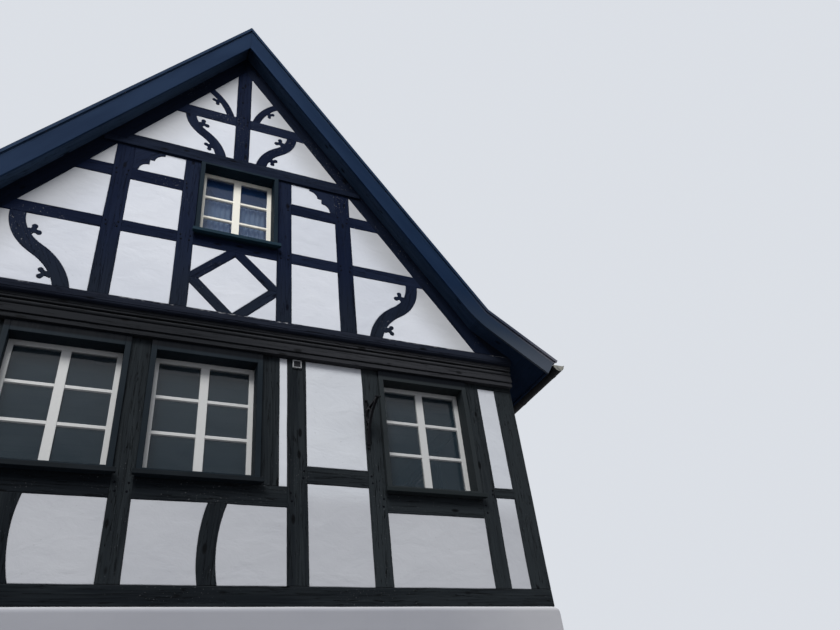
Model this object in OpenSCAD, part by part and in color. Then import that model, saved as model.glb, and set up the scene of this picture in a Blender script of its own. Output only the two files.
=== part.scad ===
// Half timbered house: a rendered masonry ground floor, a timber framed upper floor and a
// jettied timber gable with curved, cusped braces, under a steep roof with kicked eaves.
// X runs along the street gable, Y runs into the house, Z is up. Sizes are in millimetres.

/* [Overall] */
// Width over the corner posts
house_w = 7000; // [6600:50:9000]
// Length from the street frame to the back frame
house_l = 9000; // [7400:50:12000]
// Height of the masonry ground floor
ground_h = 3300; // [2900:50:3960]
// Height of the upper floor, from the underside of its sill beam to the cornice
upper_h = 2600; // [2400:10:3200]
// Slope of the main roof, in degrees
roof_pitch = 55; // [52:0.5:58]
// Slope of the kicked eave, in degrees
kick_pitch = 35; // [30:0.5:40]

/* [Masonry] */
// Thickness of the ground floor walls
masonry_t = 450; // [300:10:600]
// How far the render stands proud of the timber frame above it
render_proud = 44; // [20:1:70]
// Radius of the rendered arrises
arris_r = 52; // [10:1:70]
// Height of the inside floor above the ground
plinth_h = 150; // [60:10:300]

/* [Timbers] */
// Thickness of the timber frame walls
frame_t = 180; // [140:5:220]
// Side of the square corner posts
corner_post = 242; // [180:2:300]
// Width of the ordinary posts of the upper floor
post_w = 192; // [140:2:230]
// Width of the broad post beside the middle window
broad_post = 208; // [150:2:240]
// Height of the sill beams
sill_h = 175; // [120:5:240]
// Height of the rail under the windows
rail_h = 206; // [140:2:240]
// Height of the short rails in the blind fields
short_rail_h = 186; // [120:1:220]
// Height of the wall plates
plate_h = 180; // [140:5:240]
// How far the plaster of the fields lies behind the face of the timbers
field_set = 6; // [0:1:20]
// Thickness of the plastered fields
field_t = 110; // [80:5:140]
// Breadth of the bowed struts under the windows
strut_w = 165; // [100:5:180]
// Bow of those struts
strut_bow = 45; // [20:1:60]

/* [Gable] */
// How far the gable is jettied over the upper floor
jetty = 140; // [80:5:200]
// Width of the posts beside the attic window
inner_post = 178; // [120:2:200]
// Width of the outer gable posts
outer_post = 202; // [140:2:240]
// Width of the king post
king_post = 190; // [120:2:220]
// Width of the opening for the attic window
attic_bay = 956; // [800:2:1100]
// Width of the field between an inner and an outer gable post
gable_field = 580; // [400:2:700]
// Depth of the gable rafters, square to the slope
gable_rafter = 200; // [140:5:240]
// Breadth of the large curved braces
big_brace = 152; // [110:2:180]
// Breadth of the middle curved braces
mid_brace = 128; // [100:2:150]
// Breadth of the small curved braces at the king post
top_brace = 92; // [70:2:120]
// Breadth of the bars of the diamond
diamond_bar = 118; // [80:2:150]

/* [Windows] */
// Width of the window bays of the upper floor
window_bay = 1130; // [900:5:1300]
// Thickness of the jamb boards of a casing
jamb_t = 55; // [40:1:70]
// How far the casings stand proud of the timbers
casing_proud = 40; // [20:1:60]
// Depth of the white window frames behind the face of the timbers
frame_set = 125; // [60:5:125]
// Thickness of the white window frames, front to back
sash_t = 50; // [40:1:60]
// Width of the outer stiles and rails of a window frame
stile_w = 58; // [45:1:80]
// Width of the middle mullion
mullion_w = 88; // [60:1:120]
// Width of the ground floor window openings
masonry_bay = 1050; // [800:10:1200]
// Height of the ground floor window openings
masonry_bay_h = 1350; // [1000:10:1600]

/* [Door] */
// Width of the entrance opening
door_w = 1100; // [900:10:1200]
// Height of the entrance opening above the inside floor
door_h = 2250; // [2050:10:2400]

/* [Roof] */
// Distance of the bargeboards' face from the gable
barge_out = 240; // [160:5:320]
// Thickness of the bargeboards
barge_t = 28; // [22:1:50]
// Depth of the common rafters, square to the slope
rafter_d = 150; // [120:5:180]
// Breadth of the common rafters
rafter_b = 120; // [80:5:140]
// Number of rafter pairs
rafter_pairs = 11; // [7:1:15]
// Length of the kicked eave beyond the wall, measured level
eave_out = 534; // [400:2:650]
// Inner radius of the half round gutters
gutter_r = 72; // [50:1:80]

/* [Hidden] */

$fn = 64;
half_w = house_w / 2;
half_l = house_l / 2;
t_main = tan(roof_pitch);
t_kick = tan(kick_pitch);

// Levels above the ground
z_sill = ground_h;
z_rail = z_sill + 914;
z_rail_top = z_rail + rail_h;
z_plate = z_sill + upper_h;
z_plate_top = z_plate + plate_h;
floor_t = 203;
z_attic = z_plate_top + floor_t;
short_rail_z = z_rail_top + 45;
strip_rail_h = 117;
strip_rail_z = z_rail_top + 35;

// Posts of the front frame, each as left edge, right edge and foot
strip_w = 235;
narrow_strip = 84;
middle_x = 372;
x_corner = half_w - corner_post;
x_end = x_corner - strip_w - post_w;
x_c = x_end - window_bay - post_w;
x_ab = middle_x - window_bay - post_w;
x_p1 = x_ab - window_bay - post_w;
x_a_right = middle_x + post_w;
x_b = x_a_right + narrow_strip;
z_foot = z_sill + sill_h;
front_posts_list = [
    [-x_end - post_w, -x_end, z_foot],
    [x_p1, x_p1 + post_w, z_foot],
    [x_ab, x_ab + post_w, z_foot],
    [middle_x, x_a_right, z_rail_top],
    [x_b, x_b + broad_post, z_foot],
    [x_c, x_c + post_w, z_foot],
    [x_end, x_end + post_w, z_foot]];

// Rails of the front frame, each as left end, right end, underside and height
head_h = 50;
front_rails_list = [
    [-x_corner, -x_end - post_w, strip_rail_z, strip_rail_h],
    [-x_end, x_p1, short_rail_z, short_rail_h],
    [x_p1 + post_w, x_ab, z_rail, rail_h],
    [x_ab + post_w, x_b, z_rail, rail_h],
    [x_b + broad_post, x_c, short_rail_z, short_rail_h],
    [x_c + post_w, x_end, z_rail, rail_h],
    [x_end + post_w, x_corner, strip_rail_z, strip_rail_h],
    [x_end + post_w, x_corner, z_plate - head_h, head_h],
    [-x_corner, -x_end - post_w, z_plate - head_h, head_h]];

// Middles of the window bays of the front
bay_1 = x_ab - window_bay / 2;
bay_2 = middle_x - window_bay / 2;
bay_3 = x_end - window_bay / 2;

// Bowed struts, measured from the middles of their bays
strut_1 = bay_1 - 190;
strut_2 = bay_2 + 138;

// Posts of the side frames, mirrored about the middle of the wall
side_bay_x = 1300;
side_inner = side_bay_x - post_w;
side_outer = side_bay_x + window_bay;
side_end = half_l - corner_post;
bay_side = side_bay_x + window_bay / 2;
side_posts_list = [
    [-side_outer - post_w, -side_outer], [-side_bay_x, -side_inner], [-post_w / 2, post_w / 2],
    [side_inner, side_bay_x], [side_outer, side_outer + post_w]];
side_rails_list = [
    [side_inner, side_outer, 0],
    [post_w / 2, side_inner, 1],
    [side_outer + post_w, side_end, 1]];
side_brace_w = 170;

// Roof section: distances square to the slope, from the top of the tiles
tile_t = 42;
board_t = 25;
deck = tile_t + board_t;
rafter_foot_set = 81;
z_ridge_rafter = z_attic + (half_w - rafter_foot_set) * t_main;
z_ridge = z_ridge_rafter + deck / cos(roof_pitch);
kick_drop = deck / cos(kick_pitch);
kick_x = half_w - 359;
z_kick = z_ridge - kick_x * t_main;
eave_x = half_w + eave_out;
// Depth at which the underside of the sprockets meets the outer top corner of the attic floor
sprocket_low = (z_kick - (half_w - kick_x) * t_kick - z_attic) * cos(kick_pitch);
barge_low = sprocket_low + 54;
soffit_t = 18;
verge_over = 20;
y_gable = half_l + jetty;
y_barge = y_gable + barge_out;
y_verge = y_barge + verge_over;
barge_end = 29;
fascia_t = 22;

// Height of a line parallel to the main slope, and of one parallel to the kick, at x
function main_z(x, d) = z_ridge - d / cos(roof_pitch) - x * t_main;
function kick_z(x, d) = z_kick - d / cos(kick_pitch) - (x - kick_x) * t_kick;
// Where a line parallel to the main slope reaches the height z
function main_x(z, d) = (z_ridge - d / cos(roof_pitch) - z) / t_main;
// Where the lines at depth d of both slopes cross
function bend_x(d) = (z_ridge - z_kick - d / cos(roof_pitch) + d / cos(kick_pitch) - kick_x * t_kick)
    / (t_main - t_kick);
function bend(d) = [bend_x(d), main_z(bend_x(d), d)];
// Point at the depth d under the kicked slope, s up the slope from the end of the tiles
function eave_pt(s, d) = [
    eave_x - s * cos(kick_pitch) - d * sin(kick_pitch),
    kick_z(eave_x, 0) + s * sin(kick_pitch) - d * cos(kick_pitch)];

// Gable frame
inner_d = deck + rafter_d + gable_rafter;
z_apex_in = main_z(0, inner_d);
function in_x(z) = main_x(z, inner_d);
x_inner = attic_bay / 2;
x_outer = x_inner + inner_post + gable_field;
x_out = x_outer + outer_post;
z_r1 = z_attic + 873;
r1_h = 160;
z_r2 = z_attic + 1676;
r2_h = 178;
z_collar = z_attic + 2208;
collar_h = 222;
z_top_rail = z_attic + 3074;
top_rail_h = 178;

// Windows: wall, middle, foot, width, height, jamb, head, foot board, wall face and set-back
upper_oh = z_plate - z_rail_top;
attic_oh = z_collar - z_r1 - r1_h;
door_x = bay_2;
ground_z = plinth_h + 850;
masonry_face = half_l + render_proud;
masonry_set = frame_set + render_proud;
function timber_win(turn, x, face) =
    [turn, x, z_rail_top, window_bay, upper_oh, jamb_t, 128, 75, face, frame_set];
function attic_win(turn) =
    [turn, 0, z_r1 + r1_h, attic_bay, attic_oh, 50, 30, 48, y_gable, frame_set];
function masonry_win(turn, x, face) =
    [turn, x, ground_z, masonry_bay, masonry_bay_h, 0, 0, 0, face, masonry_set];
timber_windows = [
    for (turn = [0, 180], x = [bay_1, bay_2, bay_3]) timber_win(turn, x, half_l),
    for (turn = [90, -90], x = [-bay_side, bay_side]) timber_win(turn, x, half_w),
    for (turn = [0, 180]) attic_win(turn)];
masonry_windows = [
    for (x = [bay_1, bay_3]) masonry_win(0, x, masonry_face),
    for (x = [bay_1, bay_2, bay_3]) masonry_win(180, x, masonry_face),
    for (turn = [90, -90], x = [-bay_side, bay_side])
        masonry_win(turn, x, half_w + render_proud)];
all_windows = concat(timber_windows, masonry_windows);
lap = 8;

// Colours
timber_c = [0.13, 0.13, 0.14];
navy_c = [0.12, 0.13, 0.19];
casing_c = [0.08, 0.12, 0.12];
plaster_c = [0.82, 0.83, 0.86];
white_c = [0.86, 0.85, 0.82];
glass_c = [0.30, 0.38, 0.45, 0.5];
tile_c = [0.30, 0.27, 0.27];
metal_c = [0.62, 0.60, 0.55];
floor_c = [0.45, 0.38, 0.30];
iron_c = [0.08, 0.08, 0.09];

// Clearance of a tight joint between two timbers
joint = 0.3;

// An outline drawn in x and z, standing with its front face at y = -face, t thick
module upright(face, t) {
    translate([0, t - face, 0]) rotate([90, 0, 0]) linear_extrude(t) children();
}
// A section drawn in y and z, running along x
module along_x(x0, x1) {
    translate([x0, 0, 0]) rotate([90, 0, 90]) linear_extrude(x1 - x0) children();
}
// A section drawn in x and z, running along y
module along_y(y0, y1) {
    translate([0, y1, 0]) rotate([90, 0, 0]) linear_extrude(y1 - y0) children();
}
module rect(x0, x1, z0, z1) {
    translate([x0, z0]) square([x1 - x0, z1 - z0]);
}
module both_sides() {
    children();
    mirror([1, 0, 0]) children();
}
module both_ends() {
    children();
    rotate([0, 0, 180]) children();
}

// Masonry ground floor
module masonry_openings(turn) {
    for (w = masonry_windows) if (w[0] == turn)
        rect(w[1] - w[3] / 2, w[1] + w[3] / 2, w[2], w[2] + w[4]);
}
module rounded_top(depth, h, r) {
    difference() {
        square([depth, h]);
        translate([-1, h - r]) square([r + 1, r + 1]);
    }
    translate([r, h - r]) circle(r);
}
module ground_end_wall(turn) {
    color(plaster_c) rotate([0, 0, turn]) difference() {
        intersection() {
            translate([0, -masonry_face, 0]) along_x(-half_w - render_proud, half_w + render_proud)
                rounded_top(masonry_t, ground_h, arris_r);
            translate([0, -masonry_face, -1]) linear_extrude(ground_h + 2) {
                translate([-half_w - render_proud, arris_r])
                    square([house_w + 2 * render_proud, masonry_t - arris_r]);
                translate([-half_w - render_proud + arris_r, 0])
                    square([house_w + 2 * render_proud - 2 * arris_r, arris_r + 1]);
                for (s = [-1, 1]) translate([s * (half_w + render_proud - arris_r), arris_r])
                    circle(arris_r);
            }
        }
        upright(masonry_face + 1, masonry_t + 2) {
            masonry_openings(turn);
            if (turn == 0) rect(door_x - door_w / 2, door_x + door_w / 2, plinth_h, plinth_h + door_h);
        }
    }
}
module ground_side_wall(turn) {
    side_face = half_w + render_proud;
    run = masonry_face - masonry_t;
    color(plaster_c) rotate([0, 0, turn]) difference() {
        translate([0, -side_face, 0]) along_x(-run, run) rounded_top(masonry_t, ground_h, arris_r);
        upright(side_face + 1, masonry_t + 2) masonry_openings(turn);
    }
}
module ground_front_wall() { ground_end_wall(0); }
module ground_back_wall() { ground_end_wall(180); }
module ground_right_wall() { ground_side_wall(90); }
module ground_left_wall() { ground_side_wall(-90); }
module ground_floor() {
    inner_x = half_w + render_proud - masonry_t;
    inner_y = masonry_face - masonry_t;
    color(floor_c) translate([-inner_x, -inner_y, 0]) cube([2 * inner_x, 2 * inner_y, plinth_h]);
}

// Floors of the framed storeys
module upper_floor() {
    color(floor_c) translate([-half_w + frame_t, -half_l + frame_t, z_sill])
        cube([house_w - 2 * frame_t, house_l - 2 * frame_t, sill_h]);
}
gable_sill_back = 60;
module attic_floor() {
    color(timber_c) translate([-half_w, -half_l + gable_sill_back, z_plate_top])
        cube([house_w, house_l - 2 * gable_sill_back, floor_t]);
}

// Upper floor frame
// Four beams laid in a ring: two run through, the others butt against them
module beam_ring(z0, z1) {
    run = half_l - frame_t - joint;
    both_ends() upright(half_l, frame_t) rect(-half_w, half_w, z0, z1);
    for (turn = [90, -90]) rotate([0, 0, turn]) upright(half_w, frame_t) rect(-run, run, z0, z1);
}
module sill_beams() { color(timber_c) beam_ring(z_sill, z_foot); }
// Corner posts, with two fillets under the cornice
fillet = 12;
module corner_posts() {
    color(timber_c) for (sx = [-1, 1], sy = [-1, 1])
        translate([sx * (half_w - corner_post / 2), sy * (half_l - corner_post / 2), 0]) {
            translate([0, 0, (z_foot + z_plate) / 2])
                cube([corner_post, corner_post, z_plate - z_foot], center = true);
            for (z = [z_plate - head_h, z_plate - head_h / 2 + 2])
                translate([0, sy * (corner_post + fillet) / 2, z + fillet / 2])
                    cube([corner_post - 20, fillet, fillet], center = true);
        }
}
module front_posts_2d() {
    for (p = front_posts_list) rect(p[0], p[1], p[2], z_plate);
}
module front_rails_2d() {
    for (r = front_rails_list) rect(r[0], r[1], r[2], r[2] + r[3]);
}
module bowed_strut_2d(x, lean) {
    h = z_rail - z_foot;
    r = h * h / (8 * strut_bow) + strut_bow / 2;
    intersection() {
        rect(x - 2 * strut_w - strut_bow, x + 2 * strut_w + strut_bow, z_foot, z_rail);
        translate([x, (z_foot + z_rail) / 2]) rotate(lean) translate([r - strut_bow / 2, 0])
            difference() {
                circle(r + strut_w / 2, $fn = 180);
                circle(r - strut_w / 2, $fn = 180);
            }
    }
}
module bowed_struts_2d() {
    bowed_strut_2d(strut_1, 2.6);
    bowed_strut_2d(strut_2, -4);
}
module front_fields_2d() {
    difference() {
        rect(-x_corner, x_corner, z_foot, z_plate);
        front_posts_2d();
        front_rails_2d();
        bowed_struts_2d();
        for (x = [bay_1, bay_2, bay_3])
            rect(x - window_bay / 2, x + window_bay / 2, z_rail_top - 1, z_plate + 1);
    }
}

// Side frames
module side_walls(t, set) {
    for (turn = [90, -90]) rotate([0, 0, turn]) upright(half_w - set, t) children();
}
module side_posts_2d() {
    for (p = side_posts_list) rect(p[0], p[1], z_foot, z_plate);
}
module side_rail_2d(r) {
    if (r[2] == 0) rect(side_bay_x, side_outer, z_rail, z_rail_top);
    else rect(r[0], r[1], short_rail_z, short_rail_z + short_rail_h);
}
module side_rails_2d() {
    both_sides() for (r = side_rails_list) side_rail_2d(r);
}
module side_braces_2d() {
    x0 = side_outer + post_w;
    both_sides() intersection() {
        rect(x0, side_end, z_foot, short_rail_z);
        polygon([[x0 + 120, z_foot - 1], [x0 + 120 + side_brace_w, z_foot - 1],
            [side_end + 1, short_rail_z - 120], [side_end + 1, short_rail_z + side_brace_w],
            [side_end - 60, short_rail_z + side_brace_w]]);
    }
}
module side_fields_2d() {
    difference() {
        rect(-side_end, side_end, z_foot, z_plate);
        side_posts_2d();
        side_rails_2d();
        side_braces_2d();
        for (x = [-bay_side, bay_side])
            rect(x - window_bay / 2, x + window_bay / 2, z_rail_top - 1, z_plate + 1);
    }
}

// The four walls of the upper floor, piece by piece
module wall_posts() {
    color(timber_c) both_ends() upright(half_l, frame_t) front_posts_2d();
    color(timber_c) side_walls(frame_t, 0) side_posts_2d();
}
module wall_rails() {
    color(timber_c) both_ends() upright(half_l, frame_t) front_rails_2d();
    color(timber_c) side_walls(frame_t, 0) side_rails_2d();
}
module wall_braces() {
    color(timber_c) both_ends() upright(half_l, frame_t) bowed_struts_2d();
    color(timber_c) side_walls(frame_t, 0) side_braces_2d();
}
module wall_fields() {
    color(plaster_c) both_ends() upright(half_l - field_set, field_t) front_fields_2d();
    color(plaster_c) side_walls(field_t, field_set) side_fields_2d();
}

// Plates that carry the attic floor
module wall_plates() { color(timber_c) beam_ring(z_plate, z_plate_top); }

// Stepped, moulded cornice under the gable: two fascias, a bead and two fillets. Its section is
// drawn with y = 0 at the face of the wall below and grows outwards to negative y.
cornice_1 = 65;
cornice_2 = 78;
cornice_3 = 82;
cornice_4 = 92;
cornice_top = 92;
module cornice_section() {
    z0 = z_plate;
    z1 = z0 + 52;
    z2 = z0 + 143;
    z3 = z0 + 153;
    z4 = z0 + 203;
    z5 = z0 + 212;
    z6 = z0 + 232;
    z7 = z0 + 240;
    z8 = z_plate_top + cornice_top;
    bead = (z4 - z3) / 2 - 1.5;
    bead_x = bead - cornice_3;
    groove = 12;
    polygon([[0, z0], [-cornice_1, z0], [-cornice_1, z1 - 7], [groove - cornice_1, z1 - 7],
        [groove - cornice_1, z1 + 7], [-cornice_2, z1 + 7], [-cornice_2, z2],
        [groove - cornice_1, z2], [groove - cornice_1, z3], [bead_x + 4, z3],
        [bead_x + 4, z4], [groove - cornice_1, z4], [groove - cornice_1, z5],
        [-cornice_4, z5], [-cornice_4, z6], [groove - cornice_4, z6],
        [groove - cornice_4, z7], [-cornice_4, z7], [-cornice_4, z8], [gable_sill_back, z8],
        [gable_sill_back, z_plate_top], [0, z_plate_top]]);
    translate([bead_x, (z3 + z4) / 2]) circle(bead);
}
module cornices() {
    color(timber_c) both_ends() translate([0, -half_l, 0]) along_x(-half_w, half_w)
        cornice_section();
}
// Sill beam of the gable, with a quarter round worked along its lower edge
ovolo_r = 24;
module gable_sill_section() {
    z0 = z_plate_top + cornice_top;
    difference() {
        rect(-jetty, gable_sill_back, z0, z_attic);
        translate([-jetty - 1, z0 - 1]) square([ovolo_r + 5, ovolo_r + 9]);
    }
    translate([-jetty + ovolo_r + 4, z0 + ovolo_r + 3]) circle(ovolo_r);
}
module gable_sills() {
    color(navy_c) both_ends() translate([0, -half_l, 0]) along_x(-half_w, half_w)
        gable_sill_section();
}

// Gable frame, front and back
module gable_walls(t, set) {
    both_ends() upright(y_gable - set, t) children();
}
module gable_rafter_2d() {
    polygon([[joint, main_z(joint, inner_d)], [joint, main_z(joint, deck + rafter_d)],
        [main_x(z_attic, deck + rafter_d), z_attic], [in_x(z_attic), z_attic]]);
}
module gable_rafters() {
    color(navy_c) both_sides() for (y = [-y_gable, y_gable - frame_t]) translate([0, y, 0])
        along_y(0, frame_t) gable_rafter_2d();
}
// The triangle inside the gable rafters. Timbers that end on a rafter are drawn too long and
// cut by it.
module gable_triangle() {
    polygon([[-in_x(z_attic), z_attic], [in_x(z_attic), z_attic], [0, z_apex_in]]);
}
module long_posts_2d() {
    both_sides() for (x = [[x_inner, x_inner + inner_post], [x_outer, x_out]])
        rect(x[0], x[1], z_attic, z_collar);
    rect(-king_post / 2, king_post / 2, z_collar + collar_h, z_ridge);
}
module long_rails_2d() {
    far = in_x(z_attic);
    rect(-x_inner, x_inner, z_r1, z_r1 + r1_h);
    both_sides() {
        for (x = [[x_inner + inner_post, x_outer], [x_out, far]]) {
            rect(x[0], x[1], z_r1, z_r1 + r1_h);
            rect(x[0], x[1], z_r2, z_r2 + r2_h);
        }
        rect(king_post / 2, far, z_top_rail, z_top_rail + top_rail_h);
    }
}
module long_collar_2d() {
    rect(-in_x(z_attic), in_x(z_attic), z_collar, z_collar + collar_h);
}
module cut_to_rafters() {
    intersection() {
        children();
        gable_triangle();
    }
}
module gable_posts_2d() { cut_to_rafters() long_posts_2d(); }
module gable_rails_2d() { cut_to_rafters() long_rails_2d(); }
module collar_2d() { cut_to_rafters() long_collar_2d(); }
module gable_posts() { color(navy_c) gable_walls(frame_t, 0) gable_posts_2d(); }
module gable_rails() { color(navy_c) gable_walls(frame_t, 0) gable_rails_2d(); }
module collar_beams() {
    color(navy_c) gable_walls(frame_t, 0) collar_2d();
    color(navy_c) both_ends() upright(y_gable + collar_mould, collar_mould)
        rect(-mould_end, mould_end, z_collar + 12, z_collar + mould_top);
}
// Moulded board along the top of the collar, which laps over the rafters up to the soffits
collar_mould = 26;
mould_top = 88;
mould_end = main_x(z_collar + mould_top, deck + rafter_d + soffit_t) - 15;

// Part of a ring between the angles a0 and a1, under 90 degrees apart
module arc_bar(r, w, a0, a1) {
    a = a1 - a0;
    reach = 1.2 * (r + w) / cos(a / 2);
    rotate(a0) intersection() {
        difference() {
            circle(r + w / 2, $fn = 120);
            circle(r - w / 2, $fn = 120);
        }
        polygon([[0, 0], [reach, 0], [reach * cos(a), reach * sin(a)]]);
    }
}
// Forked leaf that stands on a brace at the origin and points along x
module leaf(reach, spread, r) {
    fork = reach * 0.5;
    polygon([[-12, -1.8 * r], [fork, -r], [fork, r], [-12, 1.8 * r]]);
    for (side = [-1, 1]) {
        translate([reach, side * spread]) circle(r);
        translate([fork, 0]) rotate(side * atan2(spread, reach - fork)) translate([0, -0.85 * r])
            square([norm([spread, reach - fork]), 1.7 * r]);
    }
}
// S-curved brace from (xt, zt) down and inwards to (xb, zb). It leans by c degrees at its top
// and by b degrees at its foot, its upper bend has k times the radius of the lower one, and it
// carries a leaf in each hollow. low is the reach, place and turn of the lower leaf.
module s_brace_2d(xt, zt, xb, zb, w, c, b, k, low) {
    dx = xt - xb;
    dz = zt - zb;
    // Lean where the two bends meet
    a = atan2(dx, dz) + acos((dz * (k * cos(c) + cos(b)) + dx * (k * sin(c) + sin(b)))
        / ((k + 1) * norm([dx, dz])));
    r2 = dz / (k * (sin(a) - sin(c)) + sin(a) - sin(b));
    r1 = k * r2;
    translate([xt - r1 * cos(c), zt + r1 * sin(c)]) {
        arc_bar(r1, w, -a - 0.3, 1.5 - c);
        rotate(-c - (a - c) * 0.55) translate([r1 - w / 2, 0]) rotate(180) leaf(74, 44, 28);
    }
    translate([xb + r2 * cos(b), zb - r2 * sin(b)]) {
        arc_bar(r2, w, 180 - a - 0.3, 181.5 - b);
        rotate(180 - b - (a - b) * low[1]) translate([r2 - w / 2, 0]) rotate(180 + low[2])
            leaf(low[0], 42, 26);
    }
}
// Bow from beside the foot of the king post out to the rafter
module top_brace_2d() {
    c = 15;
    e = 50;
    x0 = king_post / 2 + top_brace - 16;
    z0 = z_top_rail + top_rail_h;
    r = (z_apex_in - t_main * x0 - z0) / (sin(e) - sin(c) + t_main * (cos(c) - cos(e)));
    intersection() {
        rect(king_post / 2, in_x(z0) + 300, z0, z_apex_in);
        translate([x0 + r * cos(c), z0 - r * sin(c)]) {
            arc_bar(r, top_brace, 180 - e - 14, 184 - c);
            rotate(180 - c - (e - c) * 0.6) translate([r - top_brace / 2, 0]) rotate(180)
                leaf(48, 42, 23);
        }
    }
}
module cusped_braces_2d() {
    both_sides() {
        intersection() {
            rect(x_out, in_x(z_attic), z_attic, z_r1);
            s_brace_2d(in_x(z_r1) - 162, z_r1, x_out + 240, z_attic, big_brace, 0, 12, 0.8,
                [80, 0.33, 26]);
        }
        intersection() {
            rect(king_post / 2, in_x(z_collar), z_collar + collar_h, z_top_rail);
            s_brace_2d(in_x(z_top_rail) - 175, z_top_rail, king_post / 2 + 161,
                z_collar + collar_h, mid_brace, 8, 12, 0.8, [54, 0.44, 0]);
        }
        top_brace_2d();
    }
}
module cusped_braces() {
    color(navy_c) gable_walls(field_t, 0) cut_to_rafters() cusped_braces_2d();
}

// Knee bracket with two hollows between fillets, in the corner of an outer post and the collar
cove_r = 108;
module knee_2d() {
    drop = z_collar - z_r2 - r2_h;
    translate([x_outer, z_collar]) rotate(180) difference() {
        union() {
            square([3 * cove_r + 14, cove_r + 40]);
            square([cove_r + 68, 2 * cove_r + 116]);
            square([60, drop]);
        }
        translate([3 * cove_r + 14, cove_r + 40]) circle(cove_r);
        translate([cove_r + 68, 2 * cove_r + 116]) circle(cove_r);
    }
}
module knees_2d() { cut_to_rafters() both_sides() knee_2d(); }
module knee_brackets() { color(navy_c) gable_walls(field_t, 0) knees_2d(); }

// Four bars set as a diamond in the field under the attic window
diamond_tip = 10;
mitre_gap = 1;
module rhombus(a, b) { polygon([[a, 0], [0, b], [-a, 0], [0, -b]]); }
module diamond_2d() {
    h = (z_r1 - z_attic - diamond_tip - 68) / 2;
    a = x_inner - 91;
    zc = z_attic + diamond_tip + h;
    grow = 1 + diamond_bar * norm([a, h]) / (a * h);
    intersection() {
        rect(-x_inner, x_inner, z_attic, z_r1);
        translate([0, zc]) difference() {
            rhombus(a * grow, h * grow);
            rhombus(a, h);
            square([mitre_gap, 4 * h], center = true);
            square([4 * a, mitre_gap], center = true);
        }
    }
}
module diamond_braces() { color(navy_c) gable_walls(field_t, 0) diamond_2d(); }

module gable_fields_2d() {
    difference() {
        gable_triangle();
        long_posts_2d();
        long_rails_2d();
        long_collar_2d();
        cusped_braces_2d();
        knees_2d();
        diamond_2d();
        rect(-x_inner, x_inner, z_r1 + r1_h - 1, z_collar + 1);
    }
}
module gable_fields() {
    color(plaster_c) gable_walls(field_t - field_set, field_set) gable_fields_2d();
}

// Windows. Each is set out from its opening: jambs, head and foot board, then the white frame.
module at_window(w) {
    rotate([0, 0, w[0]]) translate([w[1], -w[8], w[2]]) children();
}
function casing_depth(w) = w[9] + casing_proud;
module window_casings() {
    color(casing_c) for (w = timber_windows) at_window(w) {
        for (s = [-1, 1])
            translate([s * (w[3] - w[5]) / 2, (w[9] - casing_proud) / 2, w[4] / 2])
                cube([w[5], casing_depth(w), w[4]], center = true);
        for (part = [[0, w[7]], [w[4] - w[6], w[6]]])
            translate([-w[3] / 2 + w[5] + joint, -casing_proud, part[0]])
                cube([w[3] - 2 * w[5] - 2 * joint, casing_depth(w), part[1]]);
    }
}
// Sills: a weathered board in front of the timbers, or across the foot of a masonry opening
sill_out = 90;
sill_board = 52;
sill_horn = 30;
module window_sills() {
    color(casing_c) for (w = timber_windows) at_window(w) translate([0, -casing_proud, 0])
        along_x(-w[3] / 2 - sill_horn, w[3] / 2 + sill_horn)
            polygon([[0, -4], [casing_proud - sill_out, -4], [casing_proud - sill_out, sill_board - 12],
                [0, sill_board]]);
    color(white_c) for (w = masonry_windows) at_window(w) along_x(-w[3] / 2, w[3] / 2)
        polygon([[w[9], 0], [-sill_out / 2, 0], [-sill_out / 2, 34], [w[9], 46]]);
}
function frame_w(w) = w[3] - 2 * w[5] + (w[5] > 0 ? 2 * lap : 0);
function frame_z(w) = w[5] > 0 ? w[7] - lap : 46;
function frame_h(w) = w[5] > 0 ? w[4] - w[6] - w[7] + 2 * lap : w[4] - 46;
module window_frames() {
    color(white_c) for (w = all_windows) at_window(w) translate([0, w[9], frame_z(w)]) {
        for (s = [-1, 1]) translate([s * (frame_w(w) - stile_w) / 2, sash_t / 2, frame_h(w) / 2])
            cube([stile_w, sash_t, frame_h(w)], center = true);
        translate([0, sash_t / 2, frame_h(w) / 2])
            cube([mullion_w, sash_t, frame_h(w) - 2 * stile_w - 2 * joint], center = true);
        for (z = [0, frame_h(w) - stile_w])
            translate([-frame_w(w) / 2 + stile_w + joint, 0, z])
                cube([frame_w(w) - 2 * stile_w - 2 * joint, sash_t, stile_w]);
    }
}
glass_t = 8;
module window_glass() {
    color(glass_c) for (w = all_windows) at_window(w)
        for (s = [-1, 1]) {
            pane = (frame_w(w) - 2 * stile_w - mullion_w) / 2;
            translate([s * (mullion_w + pane) / 2, w[9] + sash_t / 2, frame_z(w) + frame_h(w) / 2])
                cube([pane, glass_t, frame_h(w) - 2 * stile_w], center = true);
        }
}

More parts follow.
